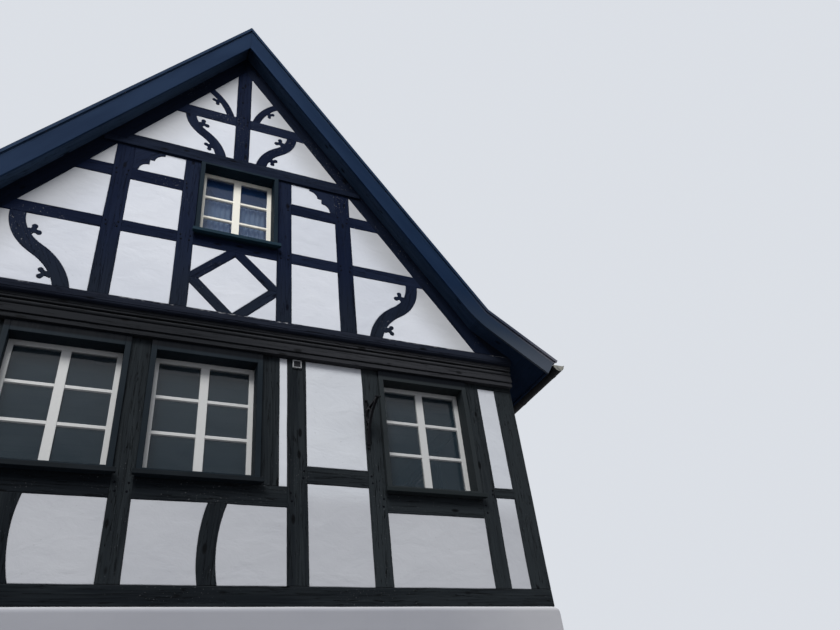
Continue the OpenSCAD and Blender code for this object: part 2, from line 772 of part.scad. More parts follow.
// Entrance door in the middle bay of the ground floor
door_frame_w = 70;
door_set = 200;
leaf_t = 50;
leaf_gap = 4;
module at_door() {
    translate([door_x, door_set - masonry_face, plinth_h]) children();
}
door_stop = 14;
door_stop_t = 25;
module door_frame() {
    color(casing_c) at_door() for (part = [[0, door_stop, door_stop_t], [door_stop_t, 0, 90]])
        upright(-part[0], part[2] - part[0]) difference() {
            rect(-door_w / 2, door_w / 2, 0, door_h);
            rect(-door_w / 2 + door_frame_w + part[1], door_w / 2 - door_frame_w - part[1],
                -1, door_h - door_frame_w - part[1]);
        }
}
module door_leaf() {
    leaf_w = door_w - 2 * door_frame_w - 2 * leaf_gap;
    leaf_h = door_h - door_frame_w - 2 * leaf_gap;
    color(casing_c) at_door() translate([0, door_stop_t + joint, leaf_gap]) difference() {
        translate([-leaf_w / 2, 0, 0]) cube([leaf_w, leaf_t, leaf_h]);
        for (z = [130, 880, 1500], s = [-1, 1])
            translate([s * leaf_w / 4 - leaf_w / 4 + 60, -1, z])
                cube([leaf_w / 2 - 120, 13, z < 800 ? 620 : z < 1400 ? 500 : leaf_h - z - 120]);
    }
}

// Roof timbers
rafter_span = 2 * y_gable - rafter_b;
function rafter_y(i) = -y_gable + rafter_b / 2 + i * rafter_span / (rafter_pairs - 1);
rafter_top = deck + joint;
module rafter_2d() {
    polygon([[joint, main_z(joint, deck + rafter_d)], [joint, main_z(joint, rafter_top)],
        [main_x(z_attic, rafter_top), z_attic], [main_x(z_attic, deck + rafter_d), z_attic]]);
}
module rafters() {
    color(timber_c) both_sides() for (i = [0:rafter_pairs - 1]) translate([0, rafter_y(i), 0])
        along_y(-rafter_b / 2, rafter_b / 2) rafter_2d();
}
// Short timbers beside the rafters that kick the eave out
sprocket_b = 80;
sprocket_end = barge_end + fascia_t;
module sprocket_2d() {
    polygon([bend(rafter_top), eave_pt(sprocket_end, rafter_top),
        eave_pt(sprocket_end, sprocket_low), sprocket_heel()]);
}
// Where the underside of a sprocket meets the underside of its rafter, and the same d lower
function sprocket_heel_x(d) = (z_ridge - (deck + rafter_d + d) / cos(roof_pitch)
    - kick_z(0, sprocket_low + d)) / (t_main - t_kick);
function sprocket_heel(d = 0) = [sprocket_heel_x(d),
    main_z(sprocket_heel_x(d), deck + rafter_d + d)];
module sprockets() {
    color(timber_c) both_sides() for (i = [0:rafter_pairs - 1]) {
        inward = i < rafter_pairs / 2 ? 1 : -1;
        translate([0, rafter_y(i) + inward * (rafter_b + sprocket_b) / 2, 0])
            along_y(-sprocket_b / 2, sprocket_b / 2) sprocket_2d();
    }
}
// Wedges along the wall head, between the rafters' backs and the sprockets
module eave_fillets() {
    x_cross = (z_ridge - deck / cos(roof_pitch) - kick_z(0, sprocket_low)) / (t_main - t_kick);
    color(timber_c) both_sides() along_y(-y_gable, y_gable)
        polygon([[main_x(z_attic, deck), z_attic], [half_w, z_attic],
            [x_cross, main_z(x_cross, deck)]]);
}
tie_b = 60;
module collar_ties() {
    d = deck + 30;
    color(timber_c) for (i = [1:rafter_pairs - 2]) {
        inward = i < rafter_pairs / 2 ? 1 : -1;
        translate([0, rafter_y(i) + inward * (rafter_b + tie_b) / 2, 0])
            along_y(-tie_b / 2, tie_b / 2)
                polygon([[-main_x(z_collar, d), z_collar], [main_x(z_collar, d), z_collar],
                    [main_x(z_collar + collar_h, d), z_collar + collar_h],
                    [-main_x(z_collar + collar_h, d), z_collar + collar_h]]);
    }
}

// Roof covering
ridge_gap = 6;
module main_layer(d0, d1, y) {
    both_sides() along_y(-y, y)
        polygon([[ridge_gap, main_z(ridge_gap, d1)], [ridge_gap, main_z(ridge_gap, d0)],
            bend(d0), bend(d1)]);
}
module kick_layer(d0, d1, s, y) {
    both_sides() translate([joint, 0, 0]) along_y(-y, y)
        polygon([bend(d0), eave_pt(s, d0), eave_pt(s, d1), bend(d1)]);
}
module roof_boards() {
    color(timber_c) main_layer(tile_t, deck, y_barge - barge_t);
    color(timber_c) kick_layer(tile_t, deck, barge_end, y_barge - barge_t);
}
module roof_tiles() {
    color(tile_c) main_layer(0, tile_t, y_verge);
    color(tile_c) kick_layer(0, tile_t, 0, y_verge);
}
ridge_t = 12;
ridge_wing = 150;
module ridge_cap() {
    rise = ridge_t / cos(roof_pitch);
    color(tile_c) along_y(-y_verge, y_verge)
        translate([0, z_ridge + joint]) polygon([[0, 0], [ridge_wing, -ridge_wing * t_main],
            [ridge_wing, rise - ridge_wing * t_main], [0, rise],
            [-ridge_wing, rise - ridge_wing * t_main], [-ridge_wing, -ridge_wing * t_main]]);
}

// Bargeboards, bent at the kick, with a soft curve along their lower edge
barge_bend = 1300;
function barge_arc(i) = bend(barge_low - barge_bend)
    - barge_bend * [sin(kick_pitch + (roof_pitch - kick_pitch) * i),
        cos(kick_pitch + (roof_pitch - kick_pitch) * i)];
module bargeboard_2d() {
    polygon(concat([[joint, main_z(joint, barge_low)], [joint, main_z(joint, deck)], bend(deck),
        eave_pt(barge_end, deck), eave_pt(barge_end, barge_low)],
        [for (i = [0:0.125:1]) barge_arc(i)]));
}
module bargeboards() {
    color(navy_c) both_sides() for (y = [-y_barge, y_barge - barge_t]) translate([0, y, 0])
        along_y(0, barge_t) bargeboard_2d();
}
// Soffit boards under the verges, bent at the kick, and along the eaves
module soffits() {
    low = deck + rafter_d;
    end = half_w - joint;
    soffit_end = sprocket_end + joint;
    color(navy_c) both_sides() {
        for (y = [-y_barge + barge_t, y_gable]) translate([0, y, 0])
            along_y(0, barge_out - barge_t)
                polygon([[ridge_gap, main_z(ridge_gap, low)], sprocket_heel(),
                    [end, kick_z(end, sprocket_low)],
                    [end, kick_z(end, sprocket_low + soffit_t)], sprocket_heel(soffit_t),
                    [ridge_gap, main_z(ridge_gap, low + soffit_t)]]);
        along_y(barge_t - y_barge, y_barge - barge_t)
            polygon([[half_w, kick_z(half_w, sprocket_low)], eave_pt(soffit_end, sprocket_low),
                eave_pt(soffit_end, sprocket_low + soffit_t),
                [half_w, kick_z(half_w, sprocket_low + soffit_t)]]);
    }
}
module fascias() {
    color(navy_c) both_sides() along_y(barge_t - y_barge, y_barge - barge_t)
        polygon([eave_pt(barge_end, deck), eave_pt(sprocket_end, deck),
            eave_pt(sprocket_end, barge_low), eave_pt(barge_end, barge_low)]);
}

// Half round gutters with closed ends
gutter_t = 5;
gutter_bead = 8;
gutter_lengths = 8;
gutter_step = 2 * y_verge / gutter_lengths;
module gutter_half() {
    translate([-2 * gutter_r, -2 * gutter_r]) square([4 * gutter_r, 2 * gutter_r]);
}
module gutters() {
    board_top = eave_pt(barge_end, deck);
    rim = kick_z(eave_x, 0) - 76;
    gx = board_top[0] + gutter_r + gutter_t + joint + (rim - board_top[1]) * t_kick;
    color(metal_c) both_sides() translate([gx, 0, rim]) {
        for (i = [0:gutter_lengths - 1])
            along_y(gutter_step * i - y_verge, gutter_step * (i + 1) - y_verge - joint) {
                intersection() {
                    difference() {
                        circle(gutter_r + gutter_t);
                        circle(gutter_r);
                    }
                    gutter_half();
                }
                translate([gutter_r + gutter_t, 0]) circle(gutter_bead);
            }
        for (y = [-y_verge, y_verge - joint - gutter_t]) along_y(y, y + gutter_t) intersection() {
            circle(gutter_r + 1);
            gutter_half();
        }
    }
}

// Bracket of flat wrought bar on the post beside the right hand window:
// a back bar, an arm with a cross bar at its tip, a curved stay and two scrolls
bracket_out = 360;
bracket_h = 568;
bracket_t = 14;
bracket_w = 30;
arm_z = 441;
module ring(r) {
    difference() {
        circle(r);
        circle(r - bracket_t);
    }
}
module bracket_2d() {
    stay_r = 430;
    square([bracket_t, bracket_h]);
    translate([0, arm_z]) square([bracket_out, bracket_t]);
    intersection() {
        translate([bracket_t - 4, arm_z + 20 - stay_r]) difference() {
            translate([stay_r, 0]) circle(stay_r, $fn = 120);
            translate([stay_r, 0]) circle(stay_r - bracket_t, $fn = 120);
        }
        translate([1, 40]) square([bracket_out - 20, arm_z - 39]);
    }
    translate([72 + bracket_t, arm_z - 73]) ring(74);
    translate([37 + bracket_t, 260]) ring(39);
    translate([15.2, bracket_h + 8]) circle(15);
}
module iron_bracket() {
    z0 = z_rail_top + 483;
    x0 = x_c + 10;
    color(iron_c) {
        translate([x0 + bracket_w, -half_l, z0]) rotate([90, 0, -90]) linear_extrude(bracket_w)
            bracket_2d();
        translate([x0 - 20, -half_l - bracket_out, z0 + arm_z])
            cube([bracket_w + 40, bracket_t, bracket_t]);
    }
}
// Small square vent under the cornice, in a pale surround
module wall_vent() {
    color(metal_c) translate([x_b + broad_post / 2, -half_l, z_plate - 62])
        rotate([90, 0, 0]) linear_extrude(22) difference() {
            square([98, 98], center = true);
            square([66, 66], center = true);
        }
}

ground_front_wall();
ground_back_wall();
ground_left_wall();
ground_right_wall();
ground_floor();
upper_floor();
attic_floor();
sill_beams();
corner_posts();
wall_posts();
wall_rails();
wall_braces();
wall_fields();
wall_plates();
cornices();
gable_sills();
gable_rafters();
gable_posts();
gable_rails();
collar_beams();
cusped_braces();
knee_brackets();
diamond_braces();
gable_fields();
window_casings();
window_sills();
window_frames();
window_glass();
door_frame();
door_leaf();
rafters();
sprockets();
eave_fillets();
collar_ties();
roof_boards();
roof_tiles();
ridge_cap();
bargeboards();
soffits();
fascias();
gutters();
iron_bracket();
wall_vent();
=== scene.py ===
import math
import random

import bmesh
import bpy
import numpy as np
from mathutils import Matrix, Vector, noise


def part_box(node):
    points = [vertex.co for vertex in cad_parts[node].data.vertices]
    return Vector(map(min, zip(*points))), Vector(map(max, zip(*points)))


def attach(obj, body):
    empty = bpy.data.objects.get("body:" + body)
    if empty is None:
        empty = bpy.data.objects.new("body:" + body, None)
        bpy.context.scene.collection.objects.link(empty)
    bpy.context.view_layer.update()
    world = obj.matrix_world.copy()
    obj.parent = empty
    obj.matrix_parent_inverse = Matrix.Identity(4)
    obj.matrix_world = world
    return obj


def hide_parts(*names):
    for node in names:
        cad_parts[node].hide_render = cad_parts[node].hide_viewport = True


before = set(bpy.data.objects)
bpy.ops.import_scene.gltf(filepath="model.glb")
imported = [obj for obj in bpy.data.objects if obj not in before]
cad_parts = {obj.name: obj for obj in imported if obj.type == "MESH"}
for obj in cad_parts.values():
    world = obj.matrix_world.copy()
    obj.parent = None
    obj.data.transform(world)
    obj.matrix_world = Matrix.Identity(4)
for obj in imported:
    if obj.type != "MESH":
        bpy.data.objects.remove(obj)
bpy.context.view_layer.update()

# The camera and the light. The camera stands low and close in front of the gable, tilted far up
# and turned a little to the right. The air is plain and pale; the floor is pale, with painted
# shade close round the house. Two big soft panels stand high in front of the house and behind it,
# and two weaker ones to its sides.
EYE = (-1.157, -10.924, 1.636)
LENS_PX, FRAME_PX, SENSOR_MM = 707.6, 840, 36
camera = bpy.data.objects.new("low_camera", bpy.data.cameras.new("low_camera"))
bpy.context.scene.collection.objects.link(camera)
camera.location = EYE
turn, tilt, lean = math.radians(-28.734), math.radians(35.364), math.radians(-7.550)
ahead = Vector((-math.sin(turn) * math.cos(tilt), math.cos(turn) * math.cos(tilt), math.sin(tilt)))
level = Vector((math.cos(turn), math.sin(turn), 0))
above = level.cross(ahead)
right = level * math.cos(lean) + above * math.sin(lean)
upward = above * math.cos(lean) - level * math.sin(lean)
camera.rotation_euler = Matrix((right, upward, -ahead)).transposed().to_euler()
camera.data.sensor_width = SENSOR_MM
camera.data.lens = LENS_PX * SENSOR_MM / FRAME_PX
camera.data.clip_end = 400
bpy.context.scene.camera = camera
bpy.context.scene.view_settings.view_transform = "Standard"


class Value:
    """The output of a node; sums and products with it become Math nodes."""

    def __init__(self, finish, socket):
        self.finish, self.socket = finish, socket

    def math(self, operation, first, second=None):
        found = self.finish.node("ShaderNodeMath", {"operation": operation},
                                 {0: first} if second is None else {0: first, 1: second})
        return found[0]

    def __add__(self, other): return self.math("ADD", self, other)
    def __radd__(self, other): return self.math("ADD", other, self)
    def __sub__(self, other): return self.math("SUBTRACT", self, other)
    def __rsub__(self, other): return self.math("SUBTRACT", other, self)
    def __mul__(self, other): return self.math("MULTIPLY", self, other)
    def __rmul__(self, other): return self.math("MULTIPLY", other, self)
    def __pow__(self, other): return self.math("POWER", self, other)
    def __rpow__(self, other): return self.math("POWER", other, self)
    def __abs__(self): return self.math("ABSOLUTE", self)
    def larger(self, other): return self.math("MAXIMUM", self, other)


class Outputs:
    """A node; its outputs are taken by name or place."""

    def __init__(self, finish, node):
        self.finish, self.node = finish, node

    def __getitem__(self, key):
        return Value(self.finish, self.node.outputs[key])


class Finish:
    """A material, or the world, whose nodes are written as expressions."""

    def __init__(self, name, owner=None):
        self.owner = owner or bpy.data.materials.new(name)
        self.owner.use_nodes = True
        self.tree = self.owner.node_tree
        self.tree.nodes.clear()

    def node(self, kind, settings=None, inputs=None):
        """A node of that kind: its settings first, then the values or links of its sockets."""
        made = self.tree.nodes.new(kind)
        for key, value in (settings or {}).items():
            setattr(made, key, value)
        for key, value in (inputs or {}).items():
            socket = made.inputs[key]
            if isinstance(value, Value):
                self.tree.links.new(value.socket, socket)
            elif hasattr(value, "__len__") and len(value) == 3 and socket.type == "RGBA":
                socket.default_value = (*value, 1)
            else:
                socket.default_value = value
        return Outputs(self, made)

    def mix(self, low, high, share, start=None, end=None):
        """Colour low where share is 0 or under start, high where it is 1 or over end."""
        if start is not None:
            share = self.band(share, start, end)
        return self.node("ShaderNodeMix", {"data_type": "RGBA"}, {0: share, 6: low, 7: high})[2]

    def scaled(self, vector, by):
        """A vector or a colour, each part times its share."""
        return self.node("ShaderNodeVectorMath", {"operation": "MULTIPLY"}, {0: vector, 1: by})[0]

    def band(self, value, low, high):
        """0 below low, 1 above high, smooth between."""
        return self.node("ShaderNodeMapRange", {"interpolation_type": "SMOOTHSTEP"},
                         {0: value, 1: low, 2: high, 3: 0.0, 4: 1.0})[0]

    def cloud(self, vector, scale, detail=4.0, rough=0.5, warp=0.0):
        """Soft noise about 0.5."""
        return self.node("ShaderNodeTexNoise", None, {
            "Vector": vector, "Scale": scale, "Detail": detail, "Roughness": rough, "Distortion": warp})[0]

    def place(self):
        """Metres in the house's own frame."""
        return self.node("ShaderNodeTexCoord")["Object"]

    def kept(self, name, output="Vector"):
        """What the mesh holds under that name."""
        return self.node("ShaderNodeAttribute", {"attribute_name": name})[output]

    def axis(self, vector, letter):
        """One part of a vector."""
        return self.node("ShaderNodeSeparateXYZ", None, {0: vector})[letter]

    def raised(self, height, metres):
        """A bump as high as that many metres where height is 1."""
        return self.node("ShaderNodeBump", None, {
            "Height": height, "Distance": metres, "Strength": 1.0})[0]

    def surface(self, colour, rough, gloss=0.5, normal=None, **others):
        """The finished material. others are more of the shader's sockets, by their names."""
        sockets = {"Base Color": colour, "Roughness": rough, "Specular IOR Level": gloss}
        sockets.update({name.replace("_", " "): value for name, value in others.items()})
        if normal is not None:
            sockets["Normal"] = normal
        shader = self.node("ShaderNodeBsdfPrincipled", None, sockets)
        self.node("ShaderNodeOutputMaterial", None, {"Surface": shader[0]})
        return self.owner


air = bpy.data.worlds.new("air")
bpy.context.scene.world = air
daylight = Finish("air", air)
path = daylight.node("ShaderNodeLightPath")
clear = path["Is Camera Ray"].larger(path["Is Transmission Ray"])
# Seen straight or through a pane the air is plain; in a mirroring face it is darker low down.
rise = daylight.axis(daylight.node("ShaderNodeTexCoord")["Generated"], "Z")
mirrored = daylight.mix((0.34, 0.37, 0.41), (0.86, 0.90, 0.96), rise, 0.36, 0.54)
tone = daylight.mix((0.58, 0.60, 0.65), mirrored, path["Is Glossy Ray"])
backdrop = daylight.node("ShaderNodeBackground", None, {
    "Color": daylight.mix(tone, (0.71, 0.74, 0.79), clear), "Strength": 1.0})
daylight.node("ShaderNodeOutputWorld", None, {"Surface": backdrop[0]})

FLOOR = 90
ground_mesh = bpy.data.meshes.new("pale_floor")
ground_mesh.from_pydata([(-FLOOR, -FLOOR, 0), (FLOOR, -FLOOR, 0), (FLOOR, FLOOR, 0),
                         (-FLOOR, FLOOR, 0)], [], [(0, 1, 2, 3)])
pale_floor = bpy.data.objects.new("pale_floor", ground_mesh)
bpy.context.scene.collection.objects.link(pale_floor)
paper = Finish("pale_floor")
path = paper.node("ShaderNodeLightPath")
where = paper.place()
far = (paper.axis(where, "X") ** 2.0 + paper.axis(where, "Y") ** 2.0) ** 0.5
# Painted shade: the floor is darker grey close round the house, pale further out.
floor_shaded_near = paper.mix((0.33, 0.335, 0.345), (0.80, 0.81, 0.83), far, 12.0, 55.0)
looked_at = path["Is Camera Ray"].larger(path["Is Glossy Ray"])
ground_mesh.materials.append(paper.surface(
    paper.mix((0.10, 0.10, 0.105), floor_shaded_near, looked_at), 0.9, gloss=0.1))


def lamp(name, place, size, watts, tint):
    """One big soft panel of light, turned to the middle of the house."""
    light = bpy.data.lights.new(name, "AREA")
    light.shape, light.size, light.energy, light.color = "DISK", size, watts, tint
    held = bpy.data.objects.new(name, light)
    bpy.context.scene.collection.objects.link(held)
    held.location = place
    middle = Vector((0, 0, 6))
    held.rotation_euler = (middle - Vector(place)).to_track_quat("-Z", "Y").to_euler()


lamp("front_panel", (-10, -25, 29), 15, 10200, (1.0, 0.995, 0.98))
lamp("rear_panel", (10, 25, 29), 15, 8200, (0.98, 0.99, 1.0))
lamp("left_panel", (-30, 4, 22), 13, 4200, (1.0, 1.0, 1.0))
lamp("right_panel", (30, -4, 22), 13, 4200, (1.0, 1.0, 1.0))


# The ground floor walls: rubble and brick behind a thick coat of lime render, floated by hand,
# painted off-white, wavy along its rounded edges, and dirtier where rain runs and splashes. Its
# grey holds painted shade, darkest in a band under the sill beams, and a painted highlight runs
# along its top arris.
def wander(point):
    """How far hand work puts a point off its line, in metres."""
    slow = noise.noise_vector(point * 1.3)
    quick = noise.noise_vector(point * 6.0 + Vector((7, 3, 5)))
    return slow * 0.0045 + quick * 0.0016


def solids_of(node):
    """The node's separate solids as meshes whose corners are joined and flat faces whole."""
    whole = bmesh.new()
    whole.from_mesh(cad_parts[node].data)
    bmesh.ops.remove_doubles(whole, verts=whole.verts, dist=0.00002)
    bmesh.ops.dissolve_limit(whole, angle_limit=math.radians(0.6), verts=whole.verts,
                             edges=whole.edges)
    left = set(whole.verts)
    found = []
    while left:
        start = min(left, key=lambda v: (v.co.x, v.co.y, v.co.z))
        group, front = {start}, [start]
        while front:
            corner = front.pop()
            for edge in corner.link_edges:
                other = edge.other_vert(corner)
                if other not in group:
                    group.add(other)
                    front.append(other)
        left -= group
        order = {v: i for i, v in enumerate(sorted(group, key=lambda v: v.index))}
        faces = sorted({f for v in group for f in v.link_faces}, key=lambda f: f.index)
        found.append(([v.co.copy() for v in order], [[order[v] for v in f.verts] for f in faces]))
    whole.free()
    return sorted(found, key=lambda s: tuple(round(c, 4) for c in s[0][0]))


def long_axes(points):
    """The solid's own directions, longest first, and its middle."""
    spread = np.array([tuple(p) for p in points])
    middle = (spread.max(0) + spread.min(0)) / 2
    values, vectors = np.linalg.eigh(np.cov((spread - middle).T))
    return [Vector(vectors[:, k]) for k in (2, 1, 0)], Vector(middle)


def laid_out(name, corners, faces, kept=None, smooth=None, node=None):
    """A new piece of the house from its corners and faces. kept holds values for each corner,
    smooth is the angle in degrees over which an arris stays sharp."""
    mesh = bpy.data.meshes.new(name)
    mesh.from_pydata(corners, [], faces)
    for key, values in (kept or {}).items():
        values = np.array(values, np.float32)
        held = mesh.attributes.new(key, "FLOAT_VECTOR" if values.ndim == 2 else "FLOAT", "POINT")
        held.data.foreach_set("vector" if values.ndim == 2 else "value", values.ravel())
    if smooth:
        mesh.shade_smooth()
        mesh.set_sharp_from_angle(angle=math.radians(smooth))
    piece = bpy.data.objects.new(name, mesh)
    bpy.context.scene.collection.objects.link(piece)
    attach(piece, "root")
    if node:
        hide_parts(node)
    return piece


def paint(piece, material):
    """Gives the piece this material and no other."""
    piece.data.materials.clear()
    piece.data.materials.append(material)


def carved(name, node, arris, pace=0.14, both_ways=False, off_line=1.0, trim=None):
    """The node's solids made again as hand work: cut every pace metres, arrises eased, lines
    off true. trim may change a solid first. The mesh keeps 'grain', metres along and across
    each member, and 'member', its own number from 0 to 1."""
    corners, faces, grains, numbers = [], [], [], []
    chance = random.Random(node)
    for points, sides in solids_of(node):
        if trim:
            points, sides = trim(points, sides)
        one = bmesh.new()
        made = [one.verts.new(p) for p in points]
        for side in sides:
            one.faces.new([made[i] for i in side])
        one.normal_update()
        axes, middle = long_axes(points)
        ways = axes[:1] if pace else []
        if both_ways:
            ways = [a for a in (Vector((1, 0, 0)), Vector((0, 1, 0)), Vector((0, 0, 1)))
                    if abs(a.dot(axes[2])) < 0.7]
        for way in ways:
            reach = [(p - middle).dot(way) for p in points]
            count = int((max(reach) - min(reach)) / pace)
            for k in range(1, count + 1):
                at = min(reach) + (max(reach) - min(reach)) * k / (count + 1)
                if min(abs(at - r) for r in reach) < 3 * arris:
                    continue
                bmesh.ops.bisect_plane(one, geom=one.verts[:] + one.edges[:] + one.faces[:],
                                       plane_co=middle + way * at, plane_no=way, dist=0.0005)
        sharp = [e for e in one.edges
                 if len(e.link_faces) == 2 and e.calc_face_angle(0) > math.radians(28)]
        bmesh.ops.bevel(one, geom=sharp, offset=arris, offset_type="OFFSET", segments=2,
                        profile=0.5, affect="EDGES", clamp_overlap=False)
        shift = Vector([chance.uniform(-40, 40) for _ in range(3)])
        number = chance.random()
        base = len(corners)
        for v in one.verts:
            v.index = len(corners) - base
            local = v.co - middle
            grains.append(tuple(local.dot(a) + s for a, s in zip(axes, shift)))
            numbers.append(number)
            moved = v.co + wander(v.co) * off_line
            corners.append((moved.x, moved.y, max(0.0, moved.z)))
        faces += [[v.index + base for v in f.verts] for f in one.faces]
        one.free()
    return laid_out(name, corners, faces, {"grain": grains, "member": numbers}, 14, node)


def rubbed_round(mesh, radius):
    """Rounds the top arris over each side of the house, where the float was drawn over it."""
    edge_x, _, edge_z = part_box("ground_front_wall")[1]
    shape = bmesh.new()
    shape.from_mesh(mesh)
    cuts = 6
    for k in range(cuts):
        inset = radius * (1 - k / cuts)
        for plane, way in (((edge_x - inset, 0, 0), (1, 0, 0)), ((inset - edge_x, 0, 0), (1, 0, 0)),
                           ((0, 0, edge_z - inset), (0, 0, 1))):
            bmesh.ops.bisect_plane(shape, geom=shape.verts[:] + shape.edges[:] + shape.faces[:],
                                   plane_co=plane, plane_no=way, dist=0.0005)
    for v in shape.verts:
        over, up = abs(v.co.x) - (edge_x - radius), v.co.z - (edge_z - radius)
        reach = math.hypot(over, up)
        if over > 0 and up > 0 and reach > radius:
            v.co.x -= math.copysign(over * (1 - radius / reach), v.co.x)
            v.co.z -= up * (1 - radius / reach)
    shape.to_mesh(mesh)
    shape.free()
    mesh.set_sharp_from_angle(angle=math.radians(26))


render = Finish("lime_render")
where = render.place()
hand = render.cloud(where, 1.7, 3.0)
sand = render.cloud(where, 160.0, 3.0, 0.6)
stain = render.cloud(render.scaled(where, (2.2, 2.2, 0.45)), 1.6, 6.0, 0.62)
z = render.axis(where, "Z")
splash = render.band(z + 0.25 * hand, 0.75, 0.1)
runs = render.band(stain, 0.52, 0.74) * render.band(z, 2.2, 3.3)
# The coat's grey holds painted shade as well as the render's own off-white.
coat = render.mix((0.37, 0.375, 0.405), (0.43, 0.435, 0.455), stain, 0.3, 0.7)
coat = render.mix(coat, (0.31, 0.31, 0.325), 0.5 * runs)
coat = render.mix(coat, (0.20, 0.19, 0.165), 0.6 * splash)
# Painted shade: a darker band under the overhang of the sill beams, less dark to the right.
lighter_rightward = render.band(render.axis(where, "X") + 0.5 * hand, 2.2, 3.9)
coat = render.mix(coat, render.mix((0.305, 0.31, 0.34), (0.425, 0.425, 0.445), lighter_rightward),
                  0.85 * render.band(z + 0.15 * hand, 2.6, 3.15))
# Painted highlight: a pale line along the top arris, where it catches the light.
coat = render.mix(coat, (0.49, 0.49, 0.505), 0.7 * render.band(z, 3.262, 3.292))
lime_render = render.surface(coat, 0.9, gloss=0.2, normal=render.raised(hand + 0.05 * sand, 0.012))
for wall in ("front_wall", "back_wall", "left_wall", "right_wall"):
    piece = carved("rendered_" + wall, "ground_" + wall, 0.012, 0.2, True, off_line=0.8)
    paint(piece, lime_render)
    rubbed_round(piece.data, 0.120)

# The floor of the ground floor: sandstone flags laid tight, worn pale in the middle, in mortar.
flags = Finish("stone_flags")
where = flags.place()
laid = flags.node("ShaderNodeTexBrick", {"offset": 0.5, "squash": 1.0}, {
    "Vector": where, "Color1": (0.20, 0.195, 0.18), "Color2": (0.30, 0.285, 0.26),
    "Mortar": (0.11, 0.105, 0.10), "Scale": 1.0, "Mortar Size": 0.006, "Brick Width": 0.62,
    "Row Height": 0.42})
worn = flags.cloud(where, 6.0, 6.0)
paint(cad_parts["ground_floor"], flags.surface(
    flags.mix(laid["Color"], (0.36, 0.34, 0.31), 0.5 * worn), 0.75,
    normal=flags.raised(worn - 1.5 * laid["Fac"], 0.004)))

# The two upper floors: broad spruce boards across the house, nailed, with open joints; the
# attic's are left rough.
for node, tone in (("upper_floor", (0.26, 0.19, 0.13)), ("attic_floor", (0.20, 0.155, 0.115))):
    boards = Finish(node + "_boards")
    where = boards.place()
    laid = boards.node("ShaderNodeTexBrick", {"offset": 0.37}, {
        "Vector": where, "Color1": tone, "Color2": tuple(0.74 * c for c in tone),
        "Mortar": (0.02, 0.016, 0.012), "Scale": 1.0, "Mortar Size": 0.003, "Brick Width": 3.4,
        "Row Height": 0.17})
    grain = boards.cloud(boards.scaled(where, (2.0, 60.0, 60.0)), 1.0, 5.0)
    paint(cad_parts[node], boards.surface(
        boards.mix(laid["Color"], tuple(0.45 * c for c in tone), 0.55 * grain),
        0.62, normal=boards.raised(grain - 2.0 * laid["Fac"], 0.002)))


# The timber frame of the upper floor: oak sill, posts, rails, struts and plates, hewn with the
# broad axe and stained nearly black. The arrises wander a little and are worn round, long
# shakes run with the grain, and the faces that look up, like the tops of the rails, are paler:
# partly weathered, partly a painted highlight of the light from above.
def timber_finish(name, dark, pale, top, gloss, relief, smears=None, foot=None, specks=0.0,
                  bleach=0.0):
    """Stained timber: streaks and shakes along the grain, knots, paler where it faces up, partly as a
    painted highlight.
    smears are two heights between which lime from the plastering still clings; foot is the
    tone it has faded to low down in the gable; specks is how much lime has splashed on it;
    bleach is how much the sun has paled the right hand half more than the left."""
    wood = Finish(name)
    where = wood.place()
    grain = wood.kept("grain")
    number = wood.kept("member", "Fac")
    fibre = wood.cloud(wood.scaled(grain, (1.6, 55.0, 55.0)), 1.0, 5.0, 0.6, 0.6)
    broad = wood.cloud(wood.scaled(grain, (0.7, 9.0, 9.0)), 1.0, 4.0, 0.55, 0.8)
    shake = wood.cloud(wood.scaled(grain, (0.9, 26.0, 26.0)), 1.0, 3.0, 0.5, 1.2)
    crack = 1.0 - wood.band(abs(shake - 0.5), 0.0, 0.014)
    spot = wood.node("ShaderNodeTexVoronoi", {"feature": "F1"}, {
        "Vector": wood.scaled(grain, (2.8, 7.0, 7.0)), "Scale": 1.0, "Randomness": 1.0})["Distance"]
    eye = 1.0 - wood.band(spot, 0.07, 0.22)
    facing = wood.axis(wood.node("ShaderNodeNewGeometry")["Normal"], "Z")
    age = 0.5 * broad + 0.38 * fibre + 0.28 * number
    if bleach:
        age = age + bleach * (wood.band(wood.axis(where, "X"), -1.8, 2.4) - 0.35)
    tone = wood.mix(dark, pale, age, 0.38, 0.80)
    if foot:
        low = 1.0 - wood.band(wood.axis(where, "Z") + 0.6 * broad, 6.5, 7.6)
        tone = wood.mix(tone, foot, 0.75 * low)
    # Painted highlight: faces that look up are mixed toward the pale top tone.
    tone = wood.mix(tone, top, 0.7 * wood.band(facing, 0.2, 0.9))
    tone = wood.mix(tone, tuple(0.3 * c for c in dark), crack + eye, 0.2, 1.0)
    if specks:
        splash = (wood.band(wood.cloud(where, 62.0, 3.0, 0.6), 0.66, 0.69)
                  * wood.band(wood.cloud(where, 1.4, 2.0), 0.54, 0.62))
        tone = wood.mix(tone, (0.22, 0.22, 0.23), specks * splash)
    if smears:
        patch = wood.band(wood.cloud(where, 2.6, 3.0), 0.46, 0.58)
        crumbs = wood.cloud(wood.scaled(where, (16.0, 16.0, 40.0)), 1.0, 5.0, 0.7)
        clinging = wood.band(crumbs, 0.50, 0.57) * patch * wood.band(wood.axis(where, "Z"), *smears)
        tone = wood.mix(tone, (0.24, 0.245, 0.26), clinging)
    height = 0.5 * fibre + 0.35 * broad - 0.9 * crack - 0.6 * eye
    return wood.surface(tone, 0.82, gloss=gloss, normal=wood.raised(height, relief))


